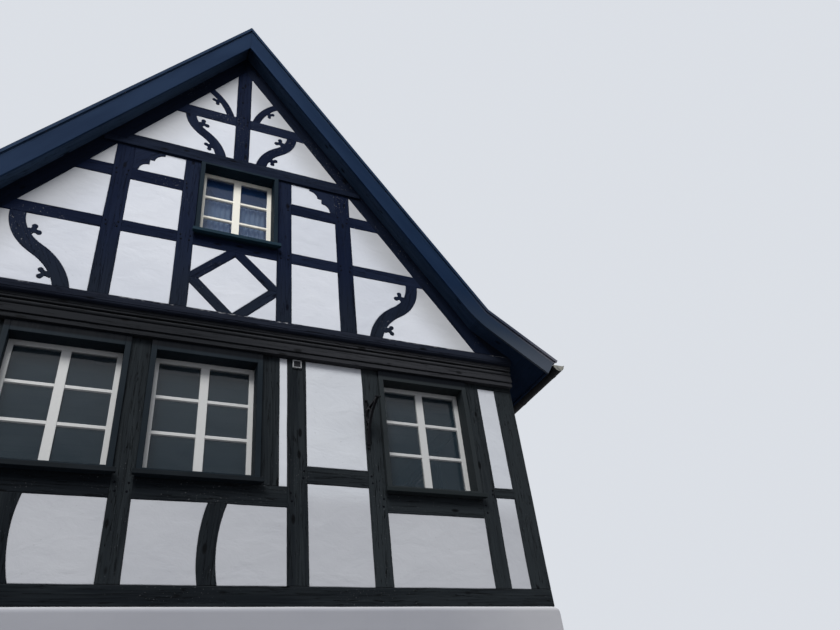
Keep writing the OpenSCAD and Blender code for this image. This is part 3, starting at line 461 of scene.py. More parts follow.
dark_timber = timber_finish("dark_timber", (0.0045, 0.0064, 0.0088), (0.0190, 0.0235, 0.0268),
                            (0.050, 0.052, 0.056), 0.07, 0.004, specks=0.5, bleach=0.17)
for name, node, arris in (
        ("oak_sill_beams", "sill_beams", 0.007), ("oak_corner_posts", "corner_posts", 0.005),
        ("oak_wall_posts", "wall_posts", 0.006), ("oak_wall_rails", "wall_rails", 0.005),
        ("oak_wall_struts", "wall_braces", 0.005), ("oak_wall_plates", "wall_plates", 0.005)):
    piece = carved(name, node, arris)
    paint(piece, dark_timber)


# The fields of the upper floor: wattle and daub with a smooth lime finish, painted white. Each
# is pressed in by hand between the timbers, so it swells a little and its rim is rounded. Below
# the window rails they are darker: painted shade.
PITCH, RIDGE_Z = math.radians(55), 11.28265     # of the roof's main slopes


def plaster_finish(name, light, shade, dirt, rail_shade=None, verge_shade=None):
    """Smooth painted lime plaster, faintly uneven, greyer in patches. rail_shade is the share of the
    colour that is left under the window rails, painted shade; verge_shade the share that is left
    close under the main slopes of the roof, painted shade of the verge's overhang."""
    lime = Finish(name)
    where = lime.place()
    number = lime.kept("member", "Fac")
    trowel = lime.cloud(lime.scaled(where, (1.0, 1.0, 1.5)), 3.2, 4.0, 0.5, 0.4)
    fine = lime.cloud(where, 120.0, 2.0, 0.6)
    cloudy = lime.cloud(where, 0.9, 5.0, 0.6)
    tone = lime.mix(shade, light, 0.65 * cloudy + 0.2 * trowel + 0.25 * number, 0.35, 0.8)
    if rail_shade:
        # Painted shade: darker below the window rails.
        tone = lime.mix(lime.scaled(tone, rail_shade), tone, lime.axis(where, "Z"), 4.2, 4.5)
    if verge_shade:
        across, height = lime.axis(where, "X"), lime.axis(where, "Z")
        under = (RIDGE_Z - height) * math.cos(PITCH) - abs(across) * math.sin(PITCH)
        # Painted shade: darker close under the overhang of the verge.
        tone = lime.mix(lime.scaled(tone, verge_shade), tone, under + 0.1 * cloudy, 0.52, 1.02)
        tone = lime.mix(lime.scaled(tone, (0.93, 0.93, 0.935)), tone, across, -2.6, -0.4)
    speck = lime.band(lime.cloud(where, 46.0, 2.0, 0.5), 0.70, 0.76)
    tone = lime.mix(tone, dirt, 0.35 * speck)
    return lime.surface(tone, 0.85, gloss=0.2, normal=lime.raised(trowel + 0.04 * fine, 0.010))


wall_plaster = plaster_finish("wall_plaster", (0.578, 0.598, 0.630), (0.530, 0.550, 0.587),
                              (0.26, 0.26, 0.26), (0.80, 0.79, 0.79))
fields = carved("wall_panels", "wall_fields", 0.006, 0.12, True, off_line=1.25)
paint(fields, wall_plaster)

# The cornice under the jettied gable: planks run with fascias, grooves and a bead. Straight
# joiner's work, the same stain; its faces that look up are paler, partly rain washed, partly a
# painted highlight.
moulding = carved("moulded_cornice", "cornices", 0.0018, 0.4, off_line=0.35)
paint(moulding, timber_finish(
    "cornice_timber", (0.0105, 0.0118, 0.0145), (0.0275, 0.0285, 0.0325), (0.060, 0.062, 0.068),
    0.12, 0.002, bleach=0.48))

# The gable frame: the same oak, painted with a dark blue grey. Rafters, posts and rails, the
# cusped braces cut from curved planks, the carved brackets and the diamond. Lime from the last
# plastering still clings to the top arris of the sill.
navy_timber = timber_finish("navy_timber", (0.0026, 0.0060, 0.0205), (0.0082, 0.0135, 0.0320),
                            (0.024, 0.032, 0.052), 0.05, 0.0025, foot=(0.0105, 0.0145, 0.0215),
                            specks=0.9, bleach=0.14)
rafter_timber = timber_finish("rafter_timber", (0.0014, 0.0036, 0.0105), (0.0044, 0.0078, 0.0190),
                              (0.024, 0.032, 0.052), 0.05, 0.0025, specks=0.6)
for name, node, arris, off_line in (
        ("gable_rafter_pairs", "gable_rafters", 0.004, 0.6),
        ("gable_king_and_posts", "gable_posts", 0.005, 1.0),
        ("gable_rail_timbers", "gable_rails", 0.004, 1.0),
        ("cusped_curved_braces", "cusped_braces", 0.003, 0.7),
        ("carved_knee_brackets", "knee_brackets", 0.003, 0.7),
        ("diamond_lattice", "diamond_braces", 0.004, 1.0)):
    piece = carved(name, node, arris, off_line=off_line)
    paint(piece, rafter_timber if node == "gable_rafters" else navy_timber)
piece = carved("gable_sill_beams", "gable_sills", 0.004, off_line=0.5)
paint(piece, timber_finish(
    "sill_timber", (0.0050, 0.0072, 0.0150), (0.0130, 0.0165, 0.0270), (0.040, 0.046, 0.062),
    0.06, 0.0025, (6.262, 6.272), bleach=0.34))
piece = carved("moulded_collars", "collar_beams", 0.003, off_line=0.4)
paint(piece, timber_finish(
    "collar_timber", (0.0040, 0.0074, 0.0185), (0.0110, 0.0165, 0.0320), (0.034, 0.042, 0.062),
    0.05, 0.0025))

# Oak pegs lock the tenons: two beside each end of a rail, driven through the post and left a few
# millimetres proud, and three in the king post. Their end grain has turned blacker than the oak.
peg_oak = timber_finish("peg_oak", (0.0010, 0.0014, 0.0030), (0.0040, 0.0045, 0.0070),
                        (0.012, 0.012, 0.014), 0.04, 0.001)


def box_of(points):
    """The lowest and the highest corner of a solid."""
    spread = np.array([tuple(p) for p in points])
    return spread.min(0), spread.max(0)


def outer_face(points):
    """A member's box, the axis it faces out along, that side and the axis across it."""
    low, high = box_of(points)
    out = 1 if max(abs(low[1]), abs(high[1])) > END_WALLS else 0
    return low, high, out, (-1 if low[out] + high[out] < 0 else 1), 1 - out


def shell_of(base, n, rings, flip=1):
    """Faces of a body made of rings of n corners each, numbered from base."""
    last = base + n * (rings - 1)
    faces = [[a + k, a + (k + 1) % n, a + n + (k + 1) % n, a + n + k][::flip]
             for a in range(base, last, n) for k in range(n)]
    return faces + [[base + k for k in range(n)][::-flip], [last + k for k in range(n)][::flip]]


# What reaches beyond END_WALLS belongs to the front or the back of the house.
END_WALLS, GABLE_FACE = 4.45, 4.640
KING_POST_PEGS = ((-0.031, 10.18), (-0.019, 9.86), (0.006, 9.55))
PEG_SIDES = 9
spots = []
for post_node, rail_node in (("wall_posts", "wall_rails"), ("gable_posts", "gable_rails")):
    posts = [outer_face(points) for points, sides in solids_of(post_node)]
    for points, sides in solids_of(rail_node):
        low, high, out, side, across = outer_face(points)
        face = side * max(side * low[out], side * high[out])
        for end, step in ((low[across], -0.045), (high[across], 0.045)):
            for p_low, p_high, p_out, p_side, p_across in posts:
                p_face = p_side * max(p_side * p_low[p_out], p_side * p_high[p_out])
                if (p_out, p_side) == (out, side) and abs(p_face - face) < 0.004 and (
                        p_low[across] + 0.02 < end + step < p_high[across] - 0.02
                        and p_low[2] < low[2] and p_high[2] > high[2]):
                    for share in (0.30, 0.70):
                        centre = [0, 0, low[2] + (high[2] - low[2]) * share]
                        centre[out], centre[across] = face, end + step * (1.0 if share < 0.5 else 0.8)
                        spots.append((Vector(centre), out, side, 0.011, 0.6))
for side in (-1, 1):
    spots += [(Vector((x, side * GABLE_FACE, z)), 1, side, 0.015, 0.0) for x, z in KING_POST_PEGS]
corners, faces, grains = [], [], []
for centre, out, side, radius, twist in spots:
    faces += shell_of(len(corners), PEG_SIDES, 3, 1 if (out == 0) == (side > 0) else -1)
    way, level = Vector((0, 0, 0)), Vector((0, 0, 0))
    way[out], level[1 - out] = side, 1
    for depth, r in ((-0.012, radius), (0.0022, radius), (0.0040, radius * 0.72)):
        for k in range(PEG_SIDES):
            angle = 2 * math.pi * (k + twist) / PEG_SIDES
            aside, up = r * math.cos(angle), r * math.sin(angle)
            corners.append(centre + wander(centre) + way * depth + level * aside
                           + Vector((0, 0, up)))
            grains.append((depth, aside + centre.x, up + centre.z))
pegs = laid_out("oak_pegs", corners, faces,
                {"grain": grains, "member": [0.5] * len(corners)}, 40)
paint(pegs, peg_oak)

# The fields of the gable: the same lime, painted later and whiter. They are darker close under
# the roof, painted shade of its overhang, and a little greyer to the left.
gable_plaster = plaster_finish("gable_plaster", (0.642, 0.662, 0.708), (0.568, 0.592, 0.646),
                               (0.32, 0.32, 0.33), verge_shade=(0.69, 0.68, 0.66))
# The corners of the panel inside the diamond: its two side tips, its top and its foot.
TIP_X, TIP_Z, TOP_Z, FOOT_Z = 0.3865, 6.6905, 7.0875, 6.2935


def without_webs(points, sides):
    """The panel inside the diamond without the hair of plaster in the mitres of its bars."""
    tips = [p for p in points if abs(p.x) > 0.47 and 6.68 < p.z < 6.70]
    if not tips or min(p.x for p in points) * max(p.x for p in points) > 0:
        return points, sides
    drawn = []
    for p in points:
        if abs(p.x) > 0.38:
            drawn.append(Vector((math.copysign(TIP_X, p.x), p.y, TIP_Z)))
        else:
            drawn.append(Vector((0, p.y, TOP_Z if p.z > 6.7 else FOOT_Z)))
    own = {tuple(p): p for p in drawn}
    order = {key: k for k, key in enumerate(own)}
    kept = []
    for side in sides:
        ring = [order[tuple(drawn[i])] for i in side]
        ring = [a for k, a in enumerate(ring) if a != ring[k - 1]]
        if len(set(ring)) > 2:
            kept.append(ring)
    return list(own.values()), kept


fields = carved("gable_panels", "gable_fields", 0.006, 0.12, True,
                trim=without_webs)
paint(fields, gable_plaster)

# The windows: a dark board casing nailed on the posts, a deep sill board, and two white painted
# casements side by side with two glazing bars each. The attic's were painted last, in cream; the
# lower ones are given a greyer white, which is painted shade.
joinery = Finish("dark_green_paint")
where = joinery.place()
brushed = joinery.cloud(joinery.scaled(where, (30.0, 30.0, 4.0)), 1.0, 4.0)
faded = joinery.band(joinery.cloud(where, 1.6, 4.0), 0.3, 0.7)
height = joinery.axis(where, "Z")
# Painted shade: the casing heads under the cornice are painted near black.
head_shade = joinery.band(height, 5.80, 5.83) * (1.0 - joinery.band(height, 6.20, 6.24))
fresh = joinery.mix((0.0028, 0.0100, 0.0178), (0.0055, 0.0155, 0.0255), faded)
greyed = joinery.mix((0.0060, 0.0105, 0.0150), (0.0110, 0.0165, 0.0220), faded)
greyed = joinery.mix(greyed, (0.0200, 0.0245, 0.0270),
                     joinery.axis(where, "X") + 0.3 * faded, 0.45, 1.1)
sheltered = joinery.mix((0.0095, 0.0190, 0.0245), (0.0170, 0.0285, 0.0345), faded)
tone = joinery.mix(joinery.mix(sheltered, greyed, height, 3.2, 3.5), fresh, height, 6.3, 6.6)
green_paint = joinery.surface(
    joinery.mix(tone, (0.0014, 0.0024, 0.0044), head_shade),
    joinery.band(brushed, 0.0, 1.0) * 0.2 + 0.55, gloss=0.07,
    normal=joinery.raised(brushed, 0.0006))
piece = carved("casing_boards", "window_casings", 0.003, 0, off_line=0.0)
paint(piece, green_paint)
ledge = Finish("sill_board_paint")
where = ledge.place()
grimy = ledge.cloud(ledge.scaled(where, (4.0, 30.0, 30.0)), 1.0, 5.0)
aged = ledge.mix((0.0042, 0.0066, 0.0090), (0.0074, 0.0104, 0.0134), grimy, 0.3, 0.7)
aged = ledge.mix(aged, (0.0125, 0.0165, 0.0180), ledge.axis(where, "X"), 0.6, 1.1)
renewed = ledge.mix((0.0058, 0.0200, 0.0320), (0.0095, 0.0270, 0.0420), grimy, 0.3, 0.7)
piece = carved("sill_boards", "window_sills", 0.003, 0, off_line=0.0)
paint(piece, ledge.surface(
    ledge.mix(aged, renewed, ledge.axis(where, "Z"), 6.3, 6.6), 0.65, gloss=0.07,
    normal=ledge.raised(grimy, 0.0008)))
casement = Finish("casement_white")
where = casement.place()
brushed = casement.cloud(where, 40.0, 3.0)
# Painted shade: the lower casements' white is greyed.
white = casement.mix((0.47, 0.475, 0.47), (0.53, 0.53, 0.52), brushed)
cream = casement.mix((0.76, 0.735, 0.645), (0.82, 0.795, 0.71), brushed)
white_paint = casement.surface(
    casement.mix(white, cream, casement.axis(where, "Z"), 6.5, 6.8), 0.42, gloss=0.4,
    normal=casement.raised(brushed, 0.0005))
piece = carved("casement_frames", "window_frames", 0.003, 0, off_line=0.0)
paint(piece, white_paint)

lights = [box_of(points) for points, sides in solids_of("window_glass")]
BAR_HIGH, BAR_DEEP = 0.048, 0.034
moulded = [(-0.50, -0.28), (-0.15, -0.50), (0.15, -0.50), (0.50, -0.28),
           (0.50, 0.28), (0.15, 0.50), (-0.15, 0.50), (-0.50, 0.28)]
corners, faces = [], []
for low, high in lights:
    thin = 0 if high[0] - low[0] < high[1] - low[1] else 1
    wide = 1 - thin
    for third in (1, 2):
        z = low[2] + (high[2] - low[2]) * third / 3
        faces += shell_of(len(corners), len(moulded), 2, 1 if thin == 1 else -1)
        for end in (low[wide] - 0.004, high[wide] + 0.004):
            for out, up in moulded:
                point = [0, 0, z + up * BAR_HIGH]
                point[thin] = (low[thin] + high[thin]) / 2 + out * BAR_DEEP
                point[wide] = end
                corners.append(point)
bars = laid_out("glazing_bars", corners, faces)
paint(bars, white_paint)

# The panes: drawn sheet glass, a little wavy, puttied in. Rooms behind it are dark. The glass is
# given a deep blue grey, bluest in the attic, a painted reflection of the blue sky, and a sheen.
pane = Finish("window_panes")
ripple = pane.cloud(pane.place(), 3.0, 2.0)
# Painted reflection: the blue of the sky in the glass's colour, strongest in the attic panes.
below = pane.mix((0.018, 0.032, 0.044), (0.030, 0.050, 0.066), ripple)
attic = pane.mix((0.009, 0.030, 0.096), (0.018, 0.050, 0.135), ripple)
paint(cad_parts["window_glass"], pane.surface(
    pane.mix(below, attic, pane.axis(pane.place(), "Z"), 6.5, 6.8), 0.03, gloss=0.75,
    Alpha=0.42, normal=pane.raised(ripple, 0.004)))

# The attic's half curtains: thin blue grey cotton gathered on a brass rod that hooks on the
# casement at its upper glazing bar. One hangs behind each light and clears the sill.
brass = Finish("brass_rod")
rod_finish = brass.surface(
    brass.mix((0.36, 0.25, 0.10), (0.46, 0.33, 0.14), brass.cloud(brass.place(), 60.0)),
    0.35, Metallic=1.0)
weave = Finish("blue_cotton")
where = weave.place()
threads = weave.cloud(weave.scaled(where, (900.0, 900.0, 260.0)), 1.0, 2.0)
faded = weave.cloud(where, 7.0, 3.0) * 0.7 + 0.3 * threads
cotton = weave.surface(
    weave.mix((0.40, 0.55, 0.72), (0.54, 0.70, 0.86), faded, 0.3, 0.7), 0.9, gloss=0.1,
    Sheen_Weight=0.15, normal=weave.raised(threads, 0.0003))
ROD, ROD_SIDES, FOLDS = 0.004, 10, 5
attic_lights = [pair for pair in lights if pair[0][2] > 7.0]
for number, (low, high) in enumerate(sorted(attic_lights, key=lambda pair: tuple(pair[0]))):
    inward = 1 if low[1] < 0 else -1
    back = (high[1] if inward > 0 else low[1]) + inward * 0.030
    z_rod = low[2] + (high[2] - low[2]) * 2 / 3 + 0.004
    left, span = low[0] + 0.006, high[0] - low[0] - 0.012
    drop = z_rod - low[2] - 0.012
    ring = [2 * math.pi * k / ROD_SIDES for k in range(ROD_SIDES)]
    corners = [(x, back + ROD * math.cos(angle), z_rod + ROD * math.sin(angle))
               for x in (left, left + span) for angle in ring]
    rod = laid_out("curtain_rod_%d" % (number + 1), corners, shell_of(0, ROD_SIDES, 2), smooth=40)
    paint(rod, rod_finish)
    across, down = 120, 24
    chance = random.Random(number)
    phases = [chance.uniform(-0.35, 0.35) for _ in range(FOLDS + 1)]
    corners, faces = [], []
    for j in range(down + 1):
        fall = j / down
        for i in range(across + 1):
            share = i / across
            knot = share * FOLDS
            bend = phases[int(min(knot, FOLDS - 1))] * (1 - knot % 1) + phases[
                min(int(knot) + 1, FOLDS)] * (knot % 1)
            angle = 2 * math.pi * knot + bend * 2.2 * fall
            deep = 0.016 * (0.75 + 0.25 * fall) * math.sin(angle)
            corners.append((left + 0.004 + (span - 0.008) * (share + 0.010 * math.sin(2 * angle)),
                            back + inward * (0.0185 + deep), z_rod + 0.006 - drop * fall))
    faces = [[j * (across + 1) + i, j * (across + 1) + i + 1,
              (j + 1) * (across + 1) + i + 1, (j + 1) * (across + 1) + i]
             for j in range(down) for i in range(across)]
    curtain = laid_out("attic_curtain_%d" % (number + 1), corners, faces, smooth=80)
    paint(curtain, cotton)
    thick = curtain.modifiers.new("cloth", "SOLIDIFY")
    thick.thickness = 0.0008
    row = [Vector(c) for c in corners[:across + 1]]
    flat_wide = sum((b - a).length for a, b in zip(row, row[1:]))
    "curtain_rod_%d" % (number + 1)

# The entrance door: framed and panelled oak in a moulded frame, painted like the casings, with a
# forged lever handle on a long plate and two strap hinges.
for name, node in (("door_surround", "door_frame"), ("panelled_door", "door_leaf")):
    piece = carved(name, node, 0.003, 0, off_line=0.0)
    paint(piece, green_paint)
iron = Finish("forged_iron")
scale = iron.cloud(iron.place(), 60.0, 4.0)
forged = iron.surface(iron.mix((0.0006, 0.0008, 0.0020), (0.0022, 0.0024, 0.0040), scale),
                      0.5, gloss=0.12, normal=iron.raised(scale, 0.001))


def turned_bar(start, end, radius, tip=None):
    """Corners and faces of a round bar from start to end; tip is its radius there."""
    sides = 12
    start, end = Vector(start), Vector(end)
    along = (end - start).normalized()
    side = along.orthogonal().normalized()
    other = along.cross(side)
    rings = [(start, radius), (end, tip or radius)]
    points = [tuple(c + (side * math.cos(2 * math.pi * k / sides)
                         + other * math.sin(2 * math.pi * k / sides)) * r)
              for c, r in rings for k in range(sides)]
    return points, shell_of(0, sides, 2)


def joined(parts):
    """Several sets of corners and faces as one."""
    corners, faces = [], []
    for points, shell in parts:
        faces += [[k + len(corners) for k in face] for face in shell]
        corners += points
    return corners, faces


def slab(low, high, ease):
    """Corners and faces of a plate whose front arrises are eased."""
    points = []
    for y, inset in ((high[1], 0), (low[1] + ease, 0), (low[1], ease)):
        x0, x1, z0, z1 = low[0] + inset, high[0] - inset, low[2] + inset, high[2] - inset
        points += [(x0, y, z0), (x1, y, z0), (x1, y, z1), (x0, y, z1)]
    return points, shell_of(0, 4, 3)


leaf_low, leaf_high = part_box("door_leaf")
face_y, latch_x = leaf_low[1], leaf_high[0] - 0.065
corners, faces = joined([
    slab((latch_x - 0.022, face_y - 0.006, 1.07), (latch_x + 0.022, face_y + 0.001, 1.31), 0.003),
    turned_bar((latch_x, face_y, 1.24), (latch_x, face_y - 0.062, 1.24), 0.010),
    turned_bar((latch_x + 0.010, face_y - 0.055, 1.24), (latch_x - 0.125, face_y - 0.055, 1.236),
               0.010, tip=0.008),
    turned_bar((latch_x, face_y - 0.004, 1.135), (latch_x, face_y - 0.009, 1.135), 0.009)]
    + [slab((leaf_low[0] + 0.002, face_y - 0.005, z - 0.018),
            (leaf_low[0] + 0.30, face_y + 0.001, z + 0.018), 0.002) for z in (0.42, 2.02)])
piece = laid_out("door_furniture", corners, faces, smooth=40)
paint(piece, forged)

# The roof carcase: sawn spruce rafters in pairs with collar ties, sprockets that kick the eaves
# up, and boards on top. Bare wood, grey with dust, but painted where its ends show in the gable.
bare = Finish("bare_spruce")
where = bare.place()
saw = bare.cloud(bare.scaled(where, (30.0, 8.0, 30.0)), 1.0, 4.0)
shown = bare.band(abs(bare.axis(where, "Y")), GABLE_FACE - 0.006, GABLE_FACE - 0.002)
tone = bare.mix((0.16, 0.11, 0.07), (0.28, 0.21, 0.145), saw)
bare_spruce = bare.surface(bare.mix(tone, (0.0030, 0.0048, 0.0110), shown), 0.85, gloss=0.1,
                           normal=bare.raised(saw, 0.002))
for node in ("rafters", "sprockets", "eave_fillets", "collar_ties", "roof_boards"):
    paint(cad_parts[node], bare_spruce)

# The verge and the eaves: deep bargeboards that follow the kick of the roof, soffit boards
# behind them, fascias that carry the gutters. Planed boards, painted dark blue, which has gone
# grey low down on the bargeboards, where the rain runs off.
board = Finish("bargeboard_paint")
grain = board.kept("grain")
fibre = board.cloud(board.scaled(grain, (1.2, 40.0, 40.0)), 1.0, 4.0, 0.6, 0.4)
cloudy = board.cloud(board.scaled(grain, (0.8, 4.0, 4.0)), 1.0, 4.0, 0.55)
height = board.axis(board.place(), "Z")
tone = board.mix((0.0062, 0.0168, 0.0430), (0.0104, 0.0240, 0.0560), cloudy, 0.3, 0.7)
tone = board.mix((0.0280, 0.0390, 0.0560), tone, height + 0.3 * cloudy, 6.25, 7.3)
tone = board.mix((0.0640, 0.0760, 0.0980), tone, height + 0.1 * cloudy, 6.02, 6.65)
scuffed = board.band(board.cloud(board.scaled(grain, (5.0, 50.0, 50.0)), 1.0, 6.0, 0.75), 0.70, 0.80)
tone = board.mix(tone, (0.09, 0.10, 0.12), 0.5 * scuffed)
board_paint = board.surface(tone, 0.66, gloss=0.03, normal=board.raised(fibre, 0.0009))
piece = carved("verge_boards", "bargeboards", 0.004, 0.3, off_line=0.4)
paint(piece, board_paint)
soffit_paint = timber_finish("soffit_paint", (0.0165, 0.0330, 0.0670), (0.0330, 0.0560, 0.1000),
                             (0.02, 0.024, 0.03), 0.04, 0.002, foot=(0.0085, 0.0175, 0.0420))
for name, node in (("eave_fascias", "fascias"), ("verge_soffits", "soffits")):
    piece = carved(name, node, 0.002, 0.4, off_line=0.3)
    paint(piece, soffit_paint)

# The roof covering: hand made plain tiles with rounded tails, hung on laths in double lap, wide
# tiles at the verges of every other course. Burnt red brown, each a little different, weathered
# and dark towards the eaves.
# The lower slope is flatter: it starts KICK_X from the middle and ends at the eave.
KICK = math.radians(35)
KICK_X, EAVE_X, VERGE_Y = 3.141, 4.034, 4.896
KICK_Z = RIDGE_Z - KICK_X * math.tan(PITCH)
KICKED = (EAVE_X - KICK_X) / math.cos(KICK)
MAIN = KICK_X / math.cos(PITCH)


def on_roof(side, run, depth, y):
    """A point run metres up the slope from the tiles' ends, depth metres under their plane."""
    if run < KICKED + 0.004:
        x = EAVE_X - run * math.cos(KICK) - depth * math.sin(KICK)
        z = KICK_Z + (run - KICKED) * math.sin(KICK) - depth * math.cos(KICK)
    else:
        x = KICK_X - (run - KICKED) * math.cos(PITCH) - depth * math.sin(PITCH)
        z = KICK_Z + (run - KICKED) * math.sin(PITCH) - depth * math.cos(PITCH)
    return (side * x, y, z)


COLUMNS, KICKED_COURSES, GAUGE = 60, 7, 0.149
TILE_LONG, TILE_THICK, TILE_TAIL, TILE_TILT = 0.335, 0.0118, 0.027, 0.0123
tile_w = 2 * VERGE_Y / COLUMNS
courses = [(k * KICKED / KICKED_COURSES, KICKED / KICKED_COURSES,
            min(TILE_LONG, KICKED + 0.002 - k * KICKED / KICKED_COURSES))
           for k in range(KICKED_COURSES)]
run = KICKED + 0.005
while run < KICKED + MAIN - 0.10:
    courses.append((run, GAUGE, min(TILE_LONG, KICKED + MAIN - 0.009 - run)))
    run += GAUGE
tile = Finish("plain_tiles")
where = tile.place()
number = tile.kept("member", "Fac")
clay = tile.cloud(where, 16.0, 5.0, 0.6)
burnt = tile.mix((0.105, 0.052, 0.036), (0.215, 0.118, 0.080), number, 0.0, 0.75)
burnt = tile.mix(burnt, (0.150, 0.125, 0.105), number, 0.80, 0.97)
burnt = tile.mix(burnt, (0.060, 0.040, 0.034), 0.65 * tile.band(clay, 0.45, 0.75))
lichen = (tile.band(tile.cloud(where, 38.0, 3.0, 0.6), 0.66, 0.74)
          * tile.band(tile.cloud(where, 0.7, 3.0), 0.42, 0.62))
burnt = tile.mix(burnt, (0.25, 0.245, 0.19), 0.7 * lichen)
burnt = tile.mix(tile.scaled(burnt, (0.62, 0.64, 0.66)), burnt,
                 tile.axis(where, "Z") + 0.8 * tile.cloud(where, 0.5, 3.0), 6.3, 8.6)
burnt_clay = tile.surface(burnt, 0.88, gloss=0.25, normal=tile.raised(clay, 0.0035))
for side, name in ((-1, "plain_tiles_left"), (1, "plain_tiles_right")):
    chance = random.Random(name)
    corners, faces, numbers = [], [], []
    for row, (run, gauge, long) in enumerate(courses):
        fall = TILE_TILT / gauge
        widths = [tile_w] * COLUMNS if row % 2 == 0 else (
            [tile_w * 1.5] + [tile_w] * (COLUMNS - 3) + [tile_w * 1.5])
        y = -VERGE_Y
        for width in widths:
            y0 = y + (0.0 if y == -VERGE_Y else chance.uniform(0.0006, 0.0018))
            y += width
            y1 = min(VERGE_Y, y - (0.0 if abs(y - VERGE_Y) < 1e-6 else chance.uniform(0.0006, 0.0018)))
            slip = chance.uniform(0.0, 0.006)
            lift = [0.0012 + chance.uniform(0.0, 0.0014) for _ in range(2)]
            base = len(corners)
            outline = []
            for k in range(5):
                share = k / 4
                tail = TILE_TAIL * (2 * share - 1) ** 2
                outline.append((y0 + (y1 - y0) * share, run + slip + tail,
                                lift[0] + (lift[1] - lift[0]) * share))
            outline += [(y1, run + long, lift[1]), (y0, run + long, lift[0])]
            for under in (0.0, TILE_THICK):
                for at, up, top in outline:
                    corners.append(on_roof(side, up, top + (up - run - slip) * fall + under, at))
            n = len(outline)
            faces += [[base + k for k in range(n)][::side], [base + n + k for k in range(n)][::-side]]
            faces += [[base + k, base + n + k, base + n + (k + 1) % n, base + (k + 1) % n][::side]
                      for k in range(n)]
            numbers += [chance.random()] * (2 * n)
    covering = laid_out(name, corners, faces, {"member": numbers})
    paint(covering, burnt_clay)
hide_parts("roof_tiles")

# The ridge: angular tiles bedded in lime mortar, each lapping the next from the front.
WING, RIDGE_TILES, RIDGE_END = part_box("ridge_cap")[1][0], 30, 4.858
ridge_foot = RIDGE_Z + 0.0003
step = 2 * RIDGE_END / RIDGE_TILES
over = [(-WING, 0), (-0.014, 0), (0.0, -0.0085), (0.014, 0), (WING, 0)]
n = len(over) + 3
corners, faces, numbers = [], [], []
chance = random.Random("ridge")
for k in range(RIDGE_TILES):
    y0 = k * step - RIDGE_END
    y1 = min(RIDGE_END, y0 + step + 0.035)
    faces += shell_of(len(corners), n, 4)
    for y, thick in ((y0, 0.0120), (y0 + 0.050, 0.0120), (y0 + 0.052, 0.0095), (y1, 0.0065)):
        rise = thick / math.cos(PITCH)
        for x, ease in over:
            corners.append((x, y, ridge_foot + rise - abs(x) * math.tan(PITCH) + ease))
        for x in (WING, 0.0, -WING):
            corners.append((x, y, ridge_foot - abs(x) * math.tan(PITCH)))
    numbers += [chance.random()] * (4 * n)
ridge = laid_out("ridge_tiles", corners, faces, {"member": numbers}, 30, "ridge_cap")
paint(ridge, burnt_clay)

# The verge fillets: slim painted boards that close the ends of the tile courses above the
# bargeboards and stand a little proud of them, on a batten that covers the ends of the boarding.
# Each from and to along the house, from and to below the top of the tiles, and short of the foot.
FILLET = (4.879, 4.900, 0.0045, 0.0415, 0.002)
BATTEN = (4.850, 4.8802, 0.0405, 0.0695, 0.016)
mitre, half_bend = (PITCH + KICK) / 2, (PITCH - KICK) / 2
parts = []
for side in (-1, 1):
    for end, (near, far, shallow, deep, short) in (
            (-1, FILLET), (1, FILLET), (-1, BATTEN), (1, BATTEN)):
        outline = []
        for depth in (shallow, deep):
            bend = (side * (KICK_X - depth * math.sin(mitre) / math.cos(half_bend)),
                    KICK_Z - depth * math.cos(mitre) / math.cos(half_bend))
            foot = on_roof(side, short, depth, 0)
            outline.append([(side * 0.0003, RIDGE_Z - depth / math.cos(PITCH)), bend,
                            (foot[0], foot[2])])
        points = [(x, y, z) for y in sorted((end * near, end * far)) for line in outline
                  for x, z in line]
        shell = []
        for a, b in ((0, 1), (1, 2)):
            shell += [[a, b, b + 3, a + 3], [b + 6, a + 6, a + 9, b + 9],
                      [b, a, a + 6, b + 6], [a + 3, b + 3, b + 9, a + 9]]
        shell += [[0, 3, 9, 6], [5, 2, 8, 11]]
        # The faces are listed for the left slope and turned over for the right one.
        parts.append((points, [f[::-side] for f in shell]))
corners, faces = joined(parts)
fillet = Finish("fillet_paint")
where = fillet.place()
patchy = fillet.cloud(where, 2.5, 5.0, 0.6)
chipped = fillet.band(fillet.cloud(where, 24.0, 4.0, 0.7), 0.68, 0.74)
height = fillet.axis(where, "Z")
tone = fillet.mix((0.0080, 0.0200, 0.0460), (0.0135, 0.0290, 0.0620), patchy, 0.3, 0.7)
tone = fillet.mix((0.036, 0.044, 0.066), tone, height + 0.3 * patchy, 6.7, 7.3)
tone = fillet.mix((0.105, 0.108, 0.130), tone, height + 0.3 * patchy, 6.25, 6.78)
tone = fillet.mix(tone, (0.075, 0.045, 0.038), 0.6 * chipped)
piece = laid_out("verge_fillets", corners, faces)
paint(piece, fillet.surface(tone, 0.66, gloss=0.04, normal=fillet.raised(patchy, 0.001)))

